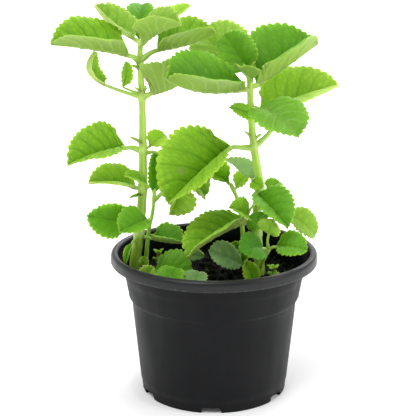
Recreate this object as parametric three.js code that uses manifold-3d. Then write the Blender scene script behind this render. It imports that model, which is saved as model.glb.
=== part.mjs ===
// Potted cuban oregano: two tall leafy stems and a few young shoots in a black nursery pot.
// Millimetres, +Z up. The pot stands on z = 0 and the plant is seen from -Y in the photograph.

import * as THREE from 'three';
import { mergeVertices } from 'three/addons/utils/BufferGeometryUtils.js';
import Module from 'manifold-3d';

const wasm = await Module();
wasm.setup();

// Pot
const POT_HEIGHT = 105;
const RIM_RADIUS = 75;
const LIP_HEIGHT = 7.6;
const LIP_WIDTH = 5.4;
const FOOT_RADIUS = 53;
const FOOT_WIDTH = 3.4;
const FOOT_LEVEL = 8;
const WALL = 1.3;
// Outside of the pot below the lip, as depth below the rim and radius.
const POT_SIDE = [[8.4, 66.8], [12, 66.2], [18, 64.6], [29, 62.7], [34, 60.2]];
const FLOOR_LEVEL = 4.6;
const FLOOR_THICKNESS = 2;
const POT_SEGMENTS = 32;
const NOTCH_COUNT = 6;
const NOTCH_WIDTH = 12.5;
const NOTCH_HEIGHT = 4;
const NOTCH_TURN = -2;
const NOTCH_SPLAY = 1.2;
const DRAIN_RADIUS = 4.5;
const DRAIN_CIRCLE = 34;
const DRAIN_SIDES = 8;

// Soil
const SOIL_LEVEL = 86;
const SOIL_CROWN = 2;

// Clearance between pieces that touch on the real plant
const GAP = 0.3;

// Stems
const STEM_SIDES = 9;
const STEM_STEP = 9;
const NODE_SWELLING = 0.7;
const NODE_SPREAD = 3;

// Leaf blades; the widths are those from which a blade gets a finer margin, and a bowed and
// thicker blade.
const FINE_MARGIN_WIDTH = 56;
const BOWED_WIDTH = 30;
const THICKNESS_BOWED = 1.1;
const THICKNESS_FLAT = 0.8;
const BOW_SHARE = 0.05;
const TOOTH_SHARE = 0.045;
const TOOTH_LEAST = 0.25;
const ENTIRE_SHARE = 0.1;
const ROWS_PER_TOOTH = 0.34;
const BELLY = 0.45;
const TAPER = 0.3;
const BLUNTNESS = 0.55;
const BASE_WEDGE = 1.5;
const BASE_REACH = 3;
const MARGIN_SAMPLES = 240;

// Leaf stalks, whose thickness grows with the blade's width, and which run on under the blade
const STALK_SIDES = 5;
const STALK_STEPS = 4;
const STALK_PER_WIDTH = 1 / 27;
const STALK_THICKNESS = [0.9, 1.7];
const STALK_TAPER = [1.1, 0.8];
const STALK_DROP = 0.45;
const STALK_BEND = 0.4;
const STALK_STRAIGHT = 0.5;
const RUN_ON = 0.14;

const COLOURS = {
  pot: 0x2d2e30,
  soil: 0x1d1510,
  stem: 0xa3c95e,
  deep: 0x4f9c2c,
  fresh: 0x7cbb35,
  light: 0x9cc56c,
  grey: 0x7d9f74,
};

// Main stems and shoots: points from the soil up, with the radius at each end.
const STEMS = {
  stem_left: {
    points: [[-56, -1, 75], [-58, -1, 88], [-54, -3, 119], [-51, -4, 152], [-50.5, -4, 180],
      [-50.5, -4, 217], [-51.5, -4, 242], [-51, -4, 257]],
    radii: [4.2, 1.9],
    nodes: [119, 152, 180, 217, 242],
  },
  stem_right: {
    points: [[34, -4, 62], [33.5, -4, 90], [31, -4, 118], [31, -4, 144], [32.5, -4, 152],
      [28, -4, 182], [26.5, -4, 195], [25.5, -4, 209], [24.5, -4, 233]],
    radii: [4, 2.2],
    nodes: [118, 152, 182, 209],
  },
  shoot_left: {
    points: [[-50, 9, 72], [-50, 9, 92], [-47.5, 8, 118], [-44.5, 6, 132], [-43, 6, 149]],
    radii: [1.7, 1.2],
    nodes: [],
  },
  shoot_centre: {
    points: [[26, 20, 72], [22, 18, 104], [20, 14, 124], [17.5, 12, 138], [11.5, 12, 152]],
    radii: [1.9, 1.3],
    nodes: [],
  },
  shoot_front: {
    points: [[31, -12, 72], [31, -13.5, 88], [34, -19, 101], [39, -24, 114]],
    radii: [2, 1.6],
    nodes: [],
  },
};

// Tiny leaves in the axils, grown together with their stem.
const BUDS = [
  { stem: 'stem_left', root: [-50, -4, 219], tip: [-47, -8, 226], wide: 2.6 },
  { stem: 'stem_left', root: [-50, -4, 218], tip: [-55, -9, 225], wide: 3 },
  { stem: 'stem_left', root: [-50, -5, 183], tip: [-59, -9, 190], wide: 4 },
  { stem: 'stem_left', root: [-50, -5, 147], tip: [-60, -10, 146], wide: 4 },
  { stem: 'stem_left', root: [-52, -6, 237], tip: [-57, -10, 240], wide: 4 },
  { stem: 'stem_right', root: [27, -4, 187], tip: [21, -8, 194], wide: 3 },
  { stem: 'stem_right', root: [28, -4, 186], tip: [33, -7, 192], wide: 3 },
  { stem: 'stem_right', root: [25, -4, 231], tip: [28, -9, 243], wide: 4 },
  { stem: 'stem_right', root: [25, -4, 231], tip: [20, -8, 241], wide: 4 },
];
const BUD_FLATNESS = 0.6;
const BUD_SEGMENTS = [5, 3];
const UPRIGHT = new THREE.Vector3(0, 1, 0);

// Seedlings in the soil: the crown they open from, and their tiny leaves.
const CLUMPS = {
  rosette: { root: [42, -21, 80], crown: [42, -21, 96.5], leaves: 5, size: 5.5, lift: 0.4 },
  seedling: { root: [-41, 14, 80], crown: [-41, 14, 96], leaves: 3, size: 6, lift: 0.8 },
};
const CLUMP_STALK = 0.9;
const CLUMP_TURN = 0.4;
const CLUMP_INNER_LIFT = 1.6;

// Leaves: where the stalk leaves the stem or the soil, where the blade starts and ends, the way
// its upper face looks, its width, the lift of each half in degrees, and the arch of its midrib.
const LEAVES = [
  {
    name: 'left_crown_front_leaf', stem: 'stem_left', green: 'light',
    root: [-51.2, -4, 252], base: [-49, -9, 256], tip: [-22, -26, 270], face: [-0.75, 0.2, 0.65],
    wide: 42, fold: 46, arch: 2, teeth: 9, belly: 0.45, taper: 0.4,
  },
  {
    name: 'left_crown_back_leaf', stem: 'stem_left', green: 'deep',
    root: [-51.2, -4, 252], base: [-53, 12, 256], tip: [-52, 40, 277], face: [0, -0.3, 1],
    wide: 25, fold: 30, arch: 4, teeth: 6,
  },
  {
    name: 'left_crown_left_leaf', stem: 'stem_left', green: 'fresh',
    root: [-51.1, -4, 255], base: [-56, 0, 258], tip: [-83, 5, 280], face: [0.25, -0.42, 1],
    wide: 33, fold: 42, arch: -4, teeth: 8, belly: 0.42, taper: 0.7,
  },
  {
    name: 'left_crown_right_leaf', stem: 'stem_left', green: 'deep',
    root: [-51.1, -4, 254], base: [-42, 14, 263], tip: [-17, 34, 277], face: [-0.2, -0.5, 1],
    wide: 19, fold: 34, arch: -1, teeth: 7, belly: 0.5,
  },
  {
    name: 'left_high_left_leaf', stem: 'stem_left', green: 'deep',
    root: [-51.5, -4, 241], base: [-59, -12, 248], tip: [-110, -27, 257], face: [0, -0.29, 1],
    wide: 52, fold: 39, arch: 1, teeth: 11, belly: 0.5, taper: 0.4,
  },
  {
    name: 'left_high_right_leaf', stem: 'stem_left', green: 'fresh',
    root: [-51.5, -4, 242], base: [-39, -6, 251], tip: [1, 5, 261], face: [0, -0.18, 1],
    wide: 47, fold: 42, arch: -2, teeth: 10, taper: 0.5,
  },
  {
    name: 'left_middle_left_leaf', stem: 'stem_left', green: 'fresh',
    root: [-50.5, -4, 217], base: [-76, -9, 227], tip: [-82, -12, 250], face: [0.94, -0.35, 0.2],
    wide: 20, fold: 48, arch: -9, teeth: 8, stalk: 1.3, bend: [-65, -7, 222],
  },
  {
    name: 'left_middle_sprout_leaf', stem: 'stem_left', green: 'deep',
    root: [-50.6, -4, 219], base: [-64, 1, 224], tip: [-62, 6, 241], face: [0.6, -0.5, 0.3],
    wide: 13, fold: 24, arch: 1, teeth: 5, bend: [-58, 0, 221],
  },
  {
    name: 'left_middle_right_leaf', stem: 'stem_left', green: 'light',
    root: [-50.5, -4, 216], base: [-44, -8, 221], tip: [-21, -24, 231], face: [0, 0, 1],
    wide: 55, fold: 55, arch: -1, teeth: 10,
  },
  {
    name: 'left_low_left_leaf', stem: 'stem_left', green: 'fresh',
    root: [-50.5, -4, 178], base: [-63, -7, 182], tip: [-102, -20, 172], face: [-0.1, -0.52, 0.85],
    wide: 47, fold: 33, arch: 2, teeth: 10, belly: 0.36, taper: 0.5,
  },
  {
    name: 'left_low_right_leaf', stem: 'stem_left', green: 'deep',
    root: [-50.6, -4, 177], base: [-37, 10, 172], tip: [-7, 26, 137], face: [0.2, -0.6, 0.7],
    wide: 34, fold: 30, arch: 4, teeth: 7,
  },
  {
    name: 'left_low_sprout_leaf', stem: 'stem_left', green: 'deep',
    root: [-50.5, -4, 181], base: [-46, 1, 181], tip: [-35, 9, 188], face: [0, -0.7, 0.6],
    wide: 18, fold: 25, arch: 1, teeth: 5,
  },
  {
    name: 'left_lower_left_leaf', stem: 'stem_left', green: 'fresh',
    root: [-51, -4, 152], base: [-56, -7, 153], tip: [-89, -12, 157], face: [0.02, -0.45, 1],
    wide: 33, fold: 36, arch: 2, teeth: 9,
  },
  {
    name: 'left_lower_front_leaf', stem: 'stem_left', green: 'deep',
    root: [-51.1, -4, 151], base: [-47, -13, 156], tip: [-62, -25, 166], face: [0, -0.5, 0.8],
    wide: 16, fold: 20, arch: 1, teeth: 5,
  },
  {
    name: 'left_shoot_upright_leaf', stem: 'shoot_left', green: 'deep',
    root: [-43.5, 6, 143], base: [-44, 10, 145], tip: [-43, 15, 175], face: [0.4, -0.9, 0.1],
    wide: 17, fold: 30, arch: 2, teeth: 7,
  },
  {
    name: 'left_shoot_hanging_leaf', stem: 'shoot_left', green: 'light',
    root: [-43.9, 6, 139], base: [-26, 3, 153], tip: [-32, -1, 131], face: [0.6, -0.8, 0.1],
    wide: 33, fold: 45, arch: 2, teeth: 7,
  },
  {
    name: 'left_base_left_leaf', stem: 'stem_left', green: 'deep',
    root: [-54, -3, 119], base: [-64, -5, 128], tip: [-90, -17, 135], face: [0.3, -0.93, 0],
    wide: 29, fold: 22, arch: 2, teeth: 7, belly: 0.4,
  },
  {
    name: 'left_base_front_leaf', stem: 'stem_left', green: 'deep',
    root: [-53.6, -3.1, 123], base: [-47, -20, 133], tip: [-66, -32, 127], face: [-0.2, -0.7, 0.65],
    wide: 29, fold: 30, arch: 1, teeth: 7,
  },
  {
    name: 'left_base_right_leaf', stem: 'stem_left', green: 'deep',
    root: [-54.4, -2.8, 116], base: [-45, -2, 114], tip: [-22, -11, 113], face: [0, -0.25, 1],
    wide: 31, fold: 42, arch: -1, teeth: 7,
  },
  {
    name: 'left_base_hanging_leaf', stem: 'stem_left', green: 'deep',
    root: [-55.1, -2.4, 110], base: [-59, -12, 113], tip: [-63, -17, 99], face: [-0.5, -0.9, 0.2],
    wide: 8, fold: 40, arch: 1, teeth: 5,
  },
  {
    name: 'right_crown_front_leaf', stem: 'stem_right', green: 'light',
    root: [24.7, -4, 228], base: [26, -10, 231], tip: [17, -25, 241], face: [0.1, 0.1, 1],
    wide: 21, fold: 18, arch: 1, teeth: 7,
  },
  {
    name: 'right_crown_back_leaf', stem: 'stem_right', green: 'deep',
    root: [24.6, -4, 230], base: [25, 0, 234], tip: [7, 13, 259], face: [-0.35, -0.6, 0.7],
    wide: 30, fold: 22, arch: 3, teeth: 9,
  },
  {
    name: 'right_crown_far_leaf', stem: 'stem_right', green: 'light',
    root: [24.7, -4, 228], base: [19, 18, 234], tip: [-11, 42, 256], face: [-0.1, -0.7, 0.7],
    wide: 48, fold: 20, arch: 2, teeth: 9,
  },
  {
    name: 'right_top_left_leaf', stem: 'stem_right', green: 'deep',
    root: [24.9, -4, 222], base: [21, -8, 224], tip: [-32, -42, 236], face: [0.1, -0.42, 1],
    wide: 60, fold: 45, arch: -6, teeth: 11, belly: 0.55,
  },
  {
    name: 'right_top_right_leaf', stem: 'stem_right', green: 'deep',
    root: [24.9, -4, 224], base: [30, 0, 226], tip: [74, 23, 252], face: [0, -0.2, 1],
    wide: 72, fold: 46, arch: -1, teeth: 12, belly: 0.42, taper: 0.5,
  },
  {
    name: 'right_high_right_leaf', stem: 'stem_right', green: 'light',
    root: [28.1, -4, 181], base: [34, 12, 201], tip: [90, 22, 221], face: [0, -0.4, 0.9],
    wide: 55, fold: 30, arch: 3, teeth: 11, belly: 0.42, taper: 0.6, bend: [41, 5, 194],
  },
  {
    name: 'right_high_front_leaf', stem: 'stem_right', green: 'deep',
    root: [25.6, -4, 207], base: [31, -13, 211], tip: [57, -40, 196], face: [0.1, -0.5, 0.85],
    wide: 43, fold: 12, arch: 4, teeth: 9,
  },
  {
    name: 'right_high_left_leaf', stem: 'stem_right', green: 'deep',
    root: [25.8, -4, 205], base: [29, -17, 206], tip: [10, -25, 214], face: [0.1, -0.75, 0.65],
    wide: 13, fold: 5, arch: 1, teeth: 6, taper: 0.9,
  },
  {
    name: 'right_middle_left_leaf', stem: 'stem_right', green: 'fresh',
    root: [28.1, -4, 181], base: [12, -10, 183], tip: [-32, -24, 145], face: [-0.5, -0.75, 0.44],
    wide: 72, fold: 46, arch: 2, teeth: 13, belly: 0.42, bend: [19, -7, 182],
  },
  {
    name: 'right_lower_left_leaf', stem: 'stem_right', green: 'grey',
    root: [32.3, -4, 153], base: [28, -3, 158], tip: [6, -1, 173], face: [0, 0.6, 0.6],
    wide: 22, fold: 30, arch: 1, teeth: 7, belly: 0.33, taper: 1.8,
  },
  {
    name: 'right_lower_right_leaf', stem: 'stem_right', green: 'fresh',
    root: [32, -4, 149], base: [38, 0, 149], tip: [48, 8, 153], face: [0, -0.6, 1],
    wide: 15, fold: 20, arch: 1, teeth: 5,
  },
  {
    name: 'right_lower_sprout_leaf', stem: 'stem_right', green: 'deep',
    root: [31.7, -4, 157], base: [27, -11, 159], tip: [34, -17, 155], face: [-0.3, -0.7, 0.6],
    wide: 12, fold: 16, arch: 1, teeth: 5,
  },
  {
    name: 'right_front_large_leaf', stem: 'stem_right', green: 'deep',
    root: [31.3, -4, 146], base: [30, -13, 149], tip: [51, -36, 131], face: [0.12, -0.56, 0.82],
    wide: 37, fold: 38, arch: 2, teeth: 9, belly: 0.45,
  },
  {
    name: 'right_far_leaf', stem: 'stem_right', green: 'light',
    root: [31, -4, 137], base: [53, 4, 131], tip: [74, 8, 113], face: [0.3, -0.75, 0.7],
    wide: 23, fold: 18, arch: 3, teeth: 7,
  },
  {
    name: 'right_front_dark_leaf', stem: 'stem_right', green: 'deep',
    root: [31, -4, 137], base: [36, -15, 137], tip: [28, -25, 125], face: [-0.59, -0.43, 0.68],
    wide: 20, fold: 8, arch: 2, teeth: 7,
  },
  {
    name: 'right_front_left_leaf', stem: 'stem_right', green: 'deep',
    root: [31, -4, 142], base: [23, -22, 135], tip: [10, -32, 145], face: [0.73, -0.37, 0.57],
    wide: 23, fold: 31, arch: 2, teeth: 6, bend: [26, -18, 141],
  },
  {
    name: 'right_base_left_leaf', stem: 'stem_right', green: 'deep',
    root: [31, -4, 127], base: [24, -7, 128], tip: [-19, -36, 110], face: [-0.2, -0.2, 1],
    wide: 42, fold: 38, arch: 3, teeth: 11, belly: 0.5,
  },
  {
    name: 'centre_leaf', stem: 'shoot_centre', green: 'deep',
    root: [13.9, 12, 146], base: [11, 13, 151], tip: [-6, 20, 158], face: [0, -0.7, 0.7],
    wide: 28, fold: 48, arch: 2, teeth: 6,
  },
  {
    name: 'centre_right_leaf', stem: 'shoot_centre', green: 'light',
    root: [13.9, 12, 146], base: [16, 13, 148], tip: [27, 13, 159], face: [-0.2, -0.5, 0.9],
    wide: 18, fold: 20, arch: 1, teeth: 5,
  },
  {
    name: 'front_left_leaf', stem: 'shoot_front', green: 'deep',
    root: [38.4, -23.4, 112], base: [34, -27, 114], tip: [17, -40, 116], face: [0, -0.75, 0.65],
    wide: 25, fold: 12, arch: 3, teeth: 7,
  },
  {
    name: 'front_right_leaf', stem: 'shoot_front', green: 'deep',
    root: [38.4, -23.4, 112], base: [44, -26, 115], tip: [65, -33, 114], face: [0, -0.6, 0.8],
    wide: 25, fold: 18, arch: 3, teeth: 7,
  },
  {
    name: 'front_top_leaf', stem: 'shoot_front', green: 'light',
    root: [38.4, -23.4, 112], base: [38, -31, 126], tip: [41, -33, 137], face: [0, -0.5, 0.75],
    wide: 19, fold: 12, arch: 1, teeth: 6, stalk: 0.95,
  },
  {
    name: 'soil_grey_leaf', stem: 'soil', green: 'grey',
    root: [23.5, -20, 78], base: [21, -22, 99], tip: [-4, -32, 114], face: [0, -0.7, 0.7],
    wide: 22, fold: 14, arch: 2, teeth: 7, belly: 0.62,
  },
  {
    name: 'soil_dark_leaf', stem: 'soil', green: 'deep',
    root: [19.2, 10, 78], base: [18, 10, 92], tip: [15, 8, 109], face: [0, -0.9, 0.3],
    wide: 20, fold: 20, arch: 1, teeth: 6,
  },
  {
    name: 'soil_small_leaf', stem: 'soil', green: 'grey',
    root: [-23.4, 0, 78], base: [-20, -2, 101], tip: [-7, -8, 102], face: [0, -0.8, 0.5],
    wide: 10, fold: 15, arch: 1, teeth: 5,
  },
  {
    name: 'soil_folded_leaf', stem: 'soil', green: 'deep',
    root: [28.3, -30, 78], base: [28, -30, 90], tip: [22, -30, 106], face: [0.2, -1, 0.3],
    wide: 15, fold: 30, arch: 1, teeth: 7,
  },
  {
    name: 'soil_big_leaf', stem: 'soil', green: 'deep',
    root: [-44.4, -18, 78], base: [-43, -20, 93], tip: [-15, -25, 96], face: [0, -0.6, 1],
    wide: 33, fold: 36, arch: 2, teeth: 8, belly: 0.55,
  },
  {
    name: 'soil_curly_leaf', stem: 'soil', green: 'light',
    root: [-31.7, -50, 78], base: [-32, -50, 93], tip: [-26, -39, 103], face: [-0.2, -0.6, 0.75],
    wide: 24, fold: 22, arch: 1, teeth: 7,
  },
  {
    name: 'soil_pale_leaf', stem: 'soil', green: 'light',
    root: [-15.7, -54, 78], base: [-15, -54, 93], tip: [-10, -41, 101], face: [-0.1, -0.6, 0.75],
    wide: 20, fold: 22, arch: 1, teeth: 6,
  },
  {
    name: 'soil_left_leaf', stem: 'soil', green: 'light',
    root: [-50.1, -30, 78], base: [-49, -30, 92], tip: [-42, -32, 102], face: [-0.2, -0.9, 0.3],
    wide: 15, fold: 20, arch: 1, teeth: 5,
  },
  {
    name: 'soil_bud_leaf', stem: 'soil', green: 'light',
    root: [-51.2, -10, 78], base: [-51, -10, 95], tip: [-50, -10, 103], face: [0, -1, 0.2],
    wide: 8, fold: 10, arch: 1, teeth: 4,
  },
];

function vector([x, y, z]) {
  return new THREE.Vector3(x, y, z);
}

function radians(degrees) {
  return THREE.MathUtils.degToRad(degrees);
}

function solid(positions, triangles) {
  return new wasm.Manifold(new wasm.Mesh({
    numProp: 3,
    vertProperties: new Float32Array(positions),
    triVerts: new Uint32Array(triangles),
  }));
}

function solidFromGeometry(geometry) {
  geometry.deleteAttribute('normal');
  geometry.deleteAttribute('uv');
  const merged = mergeVertices(geometry, 1e-4);
  const index = merged.index.array;
  const triangles = [];
  for (let i = 0; i < index.length; i += 3) {
    const [a, b, c] = [index[i], index[i + 1], index[i + 2]];
    if (a !== b && b !== c && c !== a) {
      triangles.push(a, b, c);
    }
  }
  return solid(merged.attributes.position.array, triangles);
}

function toMesh(name, body, colour, roughness) {
  const { vertProperties, triVerts } = body.getMesh();
  const geometry = new THREE.BufferGeometry();
  geometry.setAttribute('position', new THREE.BufferAttribute(vertProperties, 3));
  geometry.setIndex(new THREE.BufferAttribute(triVerts, 1));
  geometry.computeVertexNormals();
  const material = new THREE.MeshStandardMaterial({ color: colour, roughness, metalness: 0 });
  const mesh = new THREE.Mesh(geometry, material);
  mesh.name = name;
  return mesh;
}

// Closed tube along a curve, whose radius is a function of the share of its length.
function tube(curve, radius, sides, steps) {
  const frames = curve.computeFrenetFrames(steps, false);
  const positions = [];
  const triangles = [];
  for (let step = 0; step <= steps; step += 1) {
    const share = step / steps;
    const centre = curve.getPointAt(share);
    for (let side = 0; side < sides; side += 1) {
      const angle = (side / sides) * 2 * Math.PI;
      const point = centre.clone();
      point.addScaledVector(frames.normals[step], radius(share) * Math.cos(angle));
      point.addScaledVector(frames.binormals[step], radius(share) * Math.sin(angle));
      positions.push(...point);
    }
  }
  for (let step = 0; step < steps; step += 1) {
    for (let side = 0; side < sides; side += 1) {
      const a = step * sides + side;
      const b = step * sides + (side + 1) % sides;
      triangles.push(a, b, b + sides, a, b + sides, a + sides);
    }
  }
  const last = steps * sides;
  for (let side = 1; side < sides - 1; side += 1) {
    triangles.push(0, side + 1, side);
    triangles.push(last, last + side, last + side + 1);
  }
  return solid(positions, triangles);
}

function stemSolid({ points, radii, nodes }, extra = 0) {
  const curve = new THREE.CatmullRomCurve3(points.map(vector), false, 'centripetal');
  const length = curve.getLength();
  const steps = Math.max(6, Math.round(length / STEM_STEP));
  const radius = (share) => {
    const level = curve.getPointAt(share).z;
    const bump = (node) => NODE_SWELLING * Math.exp(-(((level - node) / NODE_SPREAD) ** 2));
    const swelling = nodes.reduce((sum, node) => sum + bump(node), 0);
    return THREE.MathUtils.lerp(radii[0], radii[1], share) + swelling + extra;
  };
  return tube(curve, radius, STEM_SIDES, steps);
}

// Outline of one half of a flat blade of unit length and half width: a wedge at the stalk, widest
// before the middle and round at the tip. The turn runs from 0 to 1.
function outline(turn, { belly = BELLY, taper = TAPER }) {
  const near = (1 - turn) ** BASE_REACH;
  const power = THREE.MathUtils.lerp(BLUNTNESS + taper * turn, BASE_WEDGE, near);
  return {
    along: ((1 - Math.cos(Math.PI * turn)) / 2) ** (Math.log(belly) / Math.log(0.5)),
    out: Math.max(0, Math.sin(Math.PI * turn)) ** power,
  };
}

// Margin of one half in the flat, from the stalk to just before the tip, with rounded teeth.
function margin(spec, length, half, start) {
  const { teeth } = spec;
  const path = [];
  let run = 0;
  for (let i = 0; i <= MARGIN_SAMPLES; i += 1) {
    const { along, out } = outline(i / MARGIN_SAMPLES, spec);
    const point = new THREE.Vector2(along * length, Math.max(start * (1 - along), half * out));
    run += i ? point.distanceTo(path[i - 1].point) : 0;
    path.push({ point, run });
  }
  const at = (share) => {
    const wanted = share * run;
    const i = Math.max(1, path.findIndex((entry) => entry.run >= wanted));
    const [before, after] = [path[i - 1], path[i]];
    const mix = (wanted - before.run) / (after.run - before.run);
    const [dx, dy] = [after.point.x - before.point.x, after.point.y - before.point.y];
    return {
      point: before.point.clone().lerp(after.point, mix),
      outward: new THREE.Vector2(-dy, dx).normalize(),
    };
  };
  const points = [path[0].point];
  const depth = TOOTH_SHARE * half + TOOTH_LEAST;
  const fine = spec.wide >= FINE_MARGIN_WIDTH;
  const profile = fine ? [[0, -depth], [0.3, 0], [0.72, 0]] : [[0, -depth], [0.5, 0]];
  for (let tooth = 0; tooth < teeth; tooth += 1) {
    for (const [offset, out] of profile) {
      const share = THREE.MathUtils.lerp(ENTIRE_SHARE, 1, (tooth + offset) / (teeth + 0.35));
      const { point, outward } = at(share);
      points.push(point.addScaledVector(outward, out));
    }
  }
  return points;
}

function chainRun(chain, flat) {
  const runs = [0];
  for (let i = 1; i < chain.length; i += 1) {
    runs.push(runs[i - 1] + flat[chain[i]].distanceTo(flat[chain[i - 1]]));
  }
  return runs.map((run) => run / runs[runs.length - 1]);
}

// Triangles between two chains of points, from their starts to their ends.
function zip(lower, upper, flat) {
  const [a, b] = [chainRun(lower, flat), chainRun(upper, flat)];
  const triangles = [];
  let [i, j] = [0, 0];
  while (i < lower.length - 1 || j < upper.length - 1) {
    const forward = j === upper.length - 1 || (i < lower.length - 1 && a[i + 1] <= b[j + 1]);
    const next = forward ? lower[i + 1] : upper[j + 1];
    if (new Set([lower[i], next, upper[j]]).size === 3) {
      triangles.push([lower[i], next, upper[j]]);
    }
    if (forward) {
      i += 1;
    } else {
      j += 1;
    }
  }
  return triangles;
}

// Surface of a blade: from flat coordinates (along, to the side) to space.
function bladeSurface({ base, tip, face, wide, fold, arch }) {
  const start = vector(base);
  const along = vector(tip).sub(start);
  const length = along.length();
  along.normalize();
  const up = vector(face);
  up.addScaledVector(along, -up.dot(along)).normalize();
  const across = new THREE.Vector3().crossVectors(along, up);
  const half = wide / 2;
  const angle = radians(fold);
  const bow = BOW_SHARE * wide;
  const point = (x, y) => {
    const share = x / length;
    const side = y < 0 ? -1 : 1;
    const out = Math.abs(y) / half;
    const swell = bow * 4 * out * (1 - out);
    const reach = Math.abs(y) * Math.cos(angle) - swell * Math.sin(angle);
    const lift = Math.abs(y) * Math.sin(angle) + swell * Math.cos(angle);
    return start.clone()
      .addScaledVector(along, x)
      .addScaledVector(across, side * reach)
      .addScaledVector(up, lift + arch * 4 * share * (1 - share));
  };
  const step = 0.05;
  const normalAt = (x, y) => {
    const sides = Math.abs(y) < step ? [-step, step] : [y];
    const normal = new THREE.Vector3();
    for (const side of sides) {
      const dx = point(x + step, side).sub(point(x - step, side));
      const dy = point(x, side + step / 2).sub(point(x, side - step / 2));
      normal.add(dy.cross(dx).normalize());
    }
    return normal.normalize();
  };
  return { point, normalAt, length, half, along, up, start };
}

function bladeSolid(spec) {
  const surface = bladeSurface(spec);
  const { length, half } = surface;
  const bowed = spec.wide >= BOWED_WIDTH;
  const thickness = bowed ? THICKNESS_BOWED : THICKNESS_FLAT;
  const rows = Math.max(3, Math.round(spec.teeth * ROWS_PER_TOOTH));
  const edge = margin(spec, length, half, thickness);
  const flat = [];
  const add = (x, y) => flat.push(new THREE.Vector2(x, y)) - 1;
  const rib = [];
  for (let row = 0; row <= rows; row += 1) {
    rib.push(add(outline(row / rows, spec).along * length, 0));
  }
  const tip = rib[rows];
  const faces = [];
  const border = { 1: [], '-1': [] };
  for (const side of [1, -1]) {
    const middle = [rib[0]];
    for (let row = 1; bowed && row < rows; row += 1) {
      const { along, out } = outline(row / rows, spec);
      middle.push(add(along * length, side * 0.5 * half * out));
    }
    middle.push(tip);
    const rim = edge.map((point) => add(point.x, side * point.y));
    rim.push(tip);
    border[side] = rim;
    const strips = bowed ? [[rib, middle], [middle, rim]] : [[rib, rim]];
    for (const [a, b, c] of strips.flatMap(([lower, upper]) => zip(lower, upper, flat))) {
      faces.push(side > 0 ? [a, c, b] : [a, b, c]);
    }
  }
  const positions = [];
  for (const offset of [0.5, -0.5]) {
    for (const { x, y } of flat) {
      const point = surface.point(x, y);
      const keel = y === 0 ? 1 / Math.cos(radians(spec.fold)) : 1;
      point.addScaledVector(surface.normalAt(x, y), offset * thickness * keel);
      positions.push(...point);
    }
  }
  const count = flat.length;
  const triangles = [];
  for (const [a, b, c] of faces) {
    triangles.push(a, b, c, count + a, count + c, count + b);
  }
  const loop = [...border[1], ...border[-1].slice(0, -1).reverse(), rib[0]];
  for (let i = 0; i < loop.length; i += 1) {
    const a = loop[i];
    const b = loop[(i + 1) % loop.length];
    triangles.push(b, a, count + a, b, count + a, count + b);
  }
  return solid(positions, triangles);
}

// Stalk from the stem to the blade, running on under the blade as its thick midrib.
function stalkSolid(spec, extra = 0) {
  const { point, up, along, start, length } = bladeSurface(spec);
  const root = vector(spec.root);
  const usual = THREE.MathUtils.clamp(spec.wide * STALK_PER_WIDTH, ...STALK_THICKNESS);
  const thick = spec.stalk ?? usual;
  const reach = start.distanceTo(root);
  const below = up.clone().multiplyScalar(-STALK_DROP * thick);
  const bend = start.clone().addScaledVector(along, -STALK_BEND * reach).add(below);
  bend.lerp(root.clone().lerp(start, 1 - STALK_BEND), STALK_STRAIGHT);
  const points = [
    root,
    spec.bend ? vector(spec.bend) : bend,
    start.clone().add(below),
    point(RUN_ON * length, 0).add(below),
  ];
  const curve = new THREE.CatmullRomCurve3(points, false, 'centripetal');
  const radius = (share) => thick * THREE.MathUtils.lerp(...STALK_TAPER, share) + extra;
  return tube(curve, radius, STALK_SIDES, spec.wide < BOWED_WIDTH ? STALK_STEPS - 1 : STALK_STEPS);
}

function largest(body) {
  const pieces = body.decompose();
  return pieces.reduce((best, piece) => (piece.volume() > best.volume() ? piece : best));
}

function leafSolid(spec) {
  const whole = bladeSolid(spec).add(stalkSolid(spec));
  const stem = STEMS[spec.stem];
  return largest(stem ? whole.subtract(stemSolid(stem, GAP)) : whole);
}

// A tiny closed leaf between two points.
function budSolid(root, tip, wide) {
  const [start, end] = [vector(root), vector(tip)];
  const along = end.clone().sub(start);
  const length = along.length();
  const turn = new THREE.Quaternion().setFromUnitVectors(UPRIGHT, along.normalize());
  const geometry = new THREE.SphereGeometry(0.5, ...BUD_SEGMENTS);
  geometry.scale(wide, length, wide * BUD_FLATNESS);
  geometry.applyQuaternion(turn);
  geometry.translate(...start.lerp(end, 0.5).toArray());
  return solidFromGeometry(geometry);
}

// A stem with the tiny leaves of its axils.
function buddedStem(name) {
  let whole = stemSolid(STEMS[name]);
  for (const { root, tip, wide } of BUDS.filter(({ stem }) => stem === name)) {
    whole = whole.add(budSolid(root, tip, wide));
  }
  return whole;
}

function clumpStalk({ root, crown }, extra = 0) {
  const curve = new THREE.LineCurve3(vector(root), vector(crown));
  return tube(curve, () => CLUMP_STALK + extra, STALK_SIDES, 1);
}

function clumpSolid(clump) {
  const heart = vector(clump.crown).setZ(clump.crown[2] - 1);
  let whole = clumpStalk(clump);
  for (let i = 0; i < clump.leaves; i += 1) {
    const angle = (i / clump.leaves) * 2 * Math.PI + CLUMP_TURN;
    const lift = clump.lift * (i % 2 ? 1 : CLUMP_INNER_LIFT);
    const away = new THREE.Vector3(Math.cos(angle), Math.sin(angle), lift).normalize();
    const tip = vector(clump.crown).addScaledVector(away, clump.size);
    whole = whole.add(budSolid(heart.toArray(), tip.toArray(), clump.size / 2));
  }
  return whole;
}

function lathe(profile) {
  const points = profile.map(([radius, level]) => new THREE.Vector2(radius, level));
  const geometry = new THREE.LatheGeometry(points, POT_SEGMENTS);
  geometry.rotateX(Math.PI / 2);
  return solidFromGeometry(geometry);
}

function potSide() {
  const levels = POT_SIDE.map(([depth, radius]) => [radius, POT_HEIGHT - depth]);
  return [...levels, [FOOT_RADIUS + 0.8, FOOT_LEVEL]];
}

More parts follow.
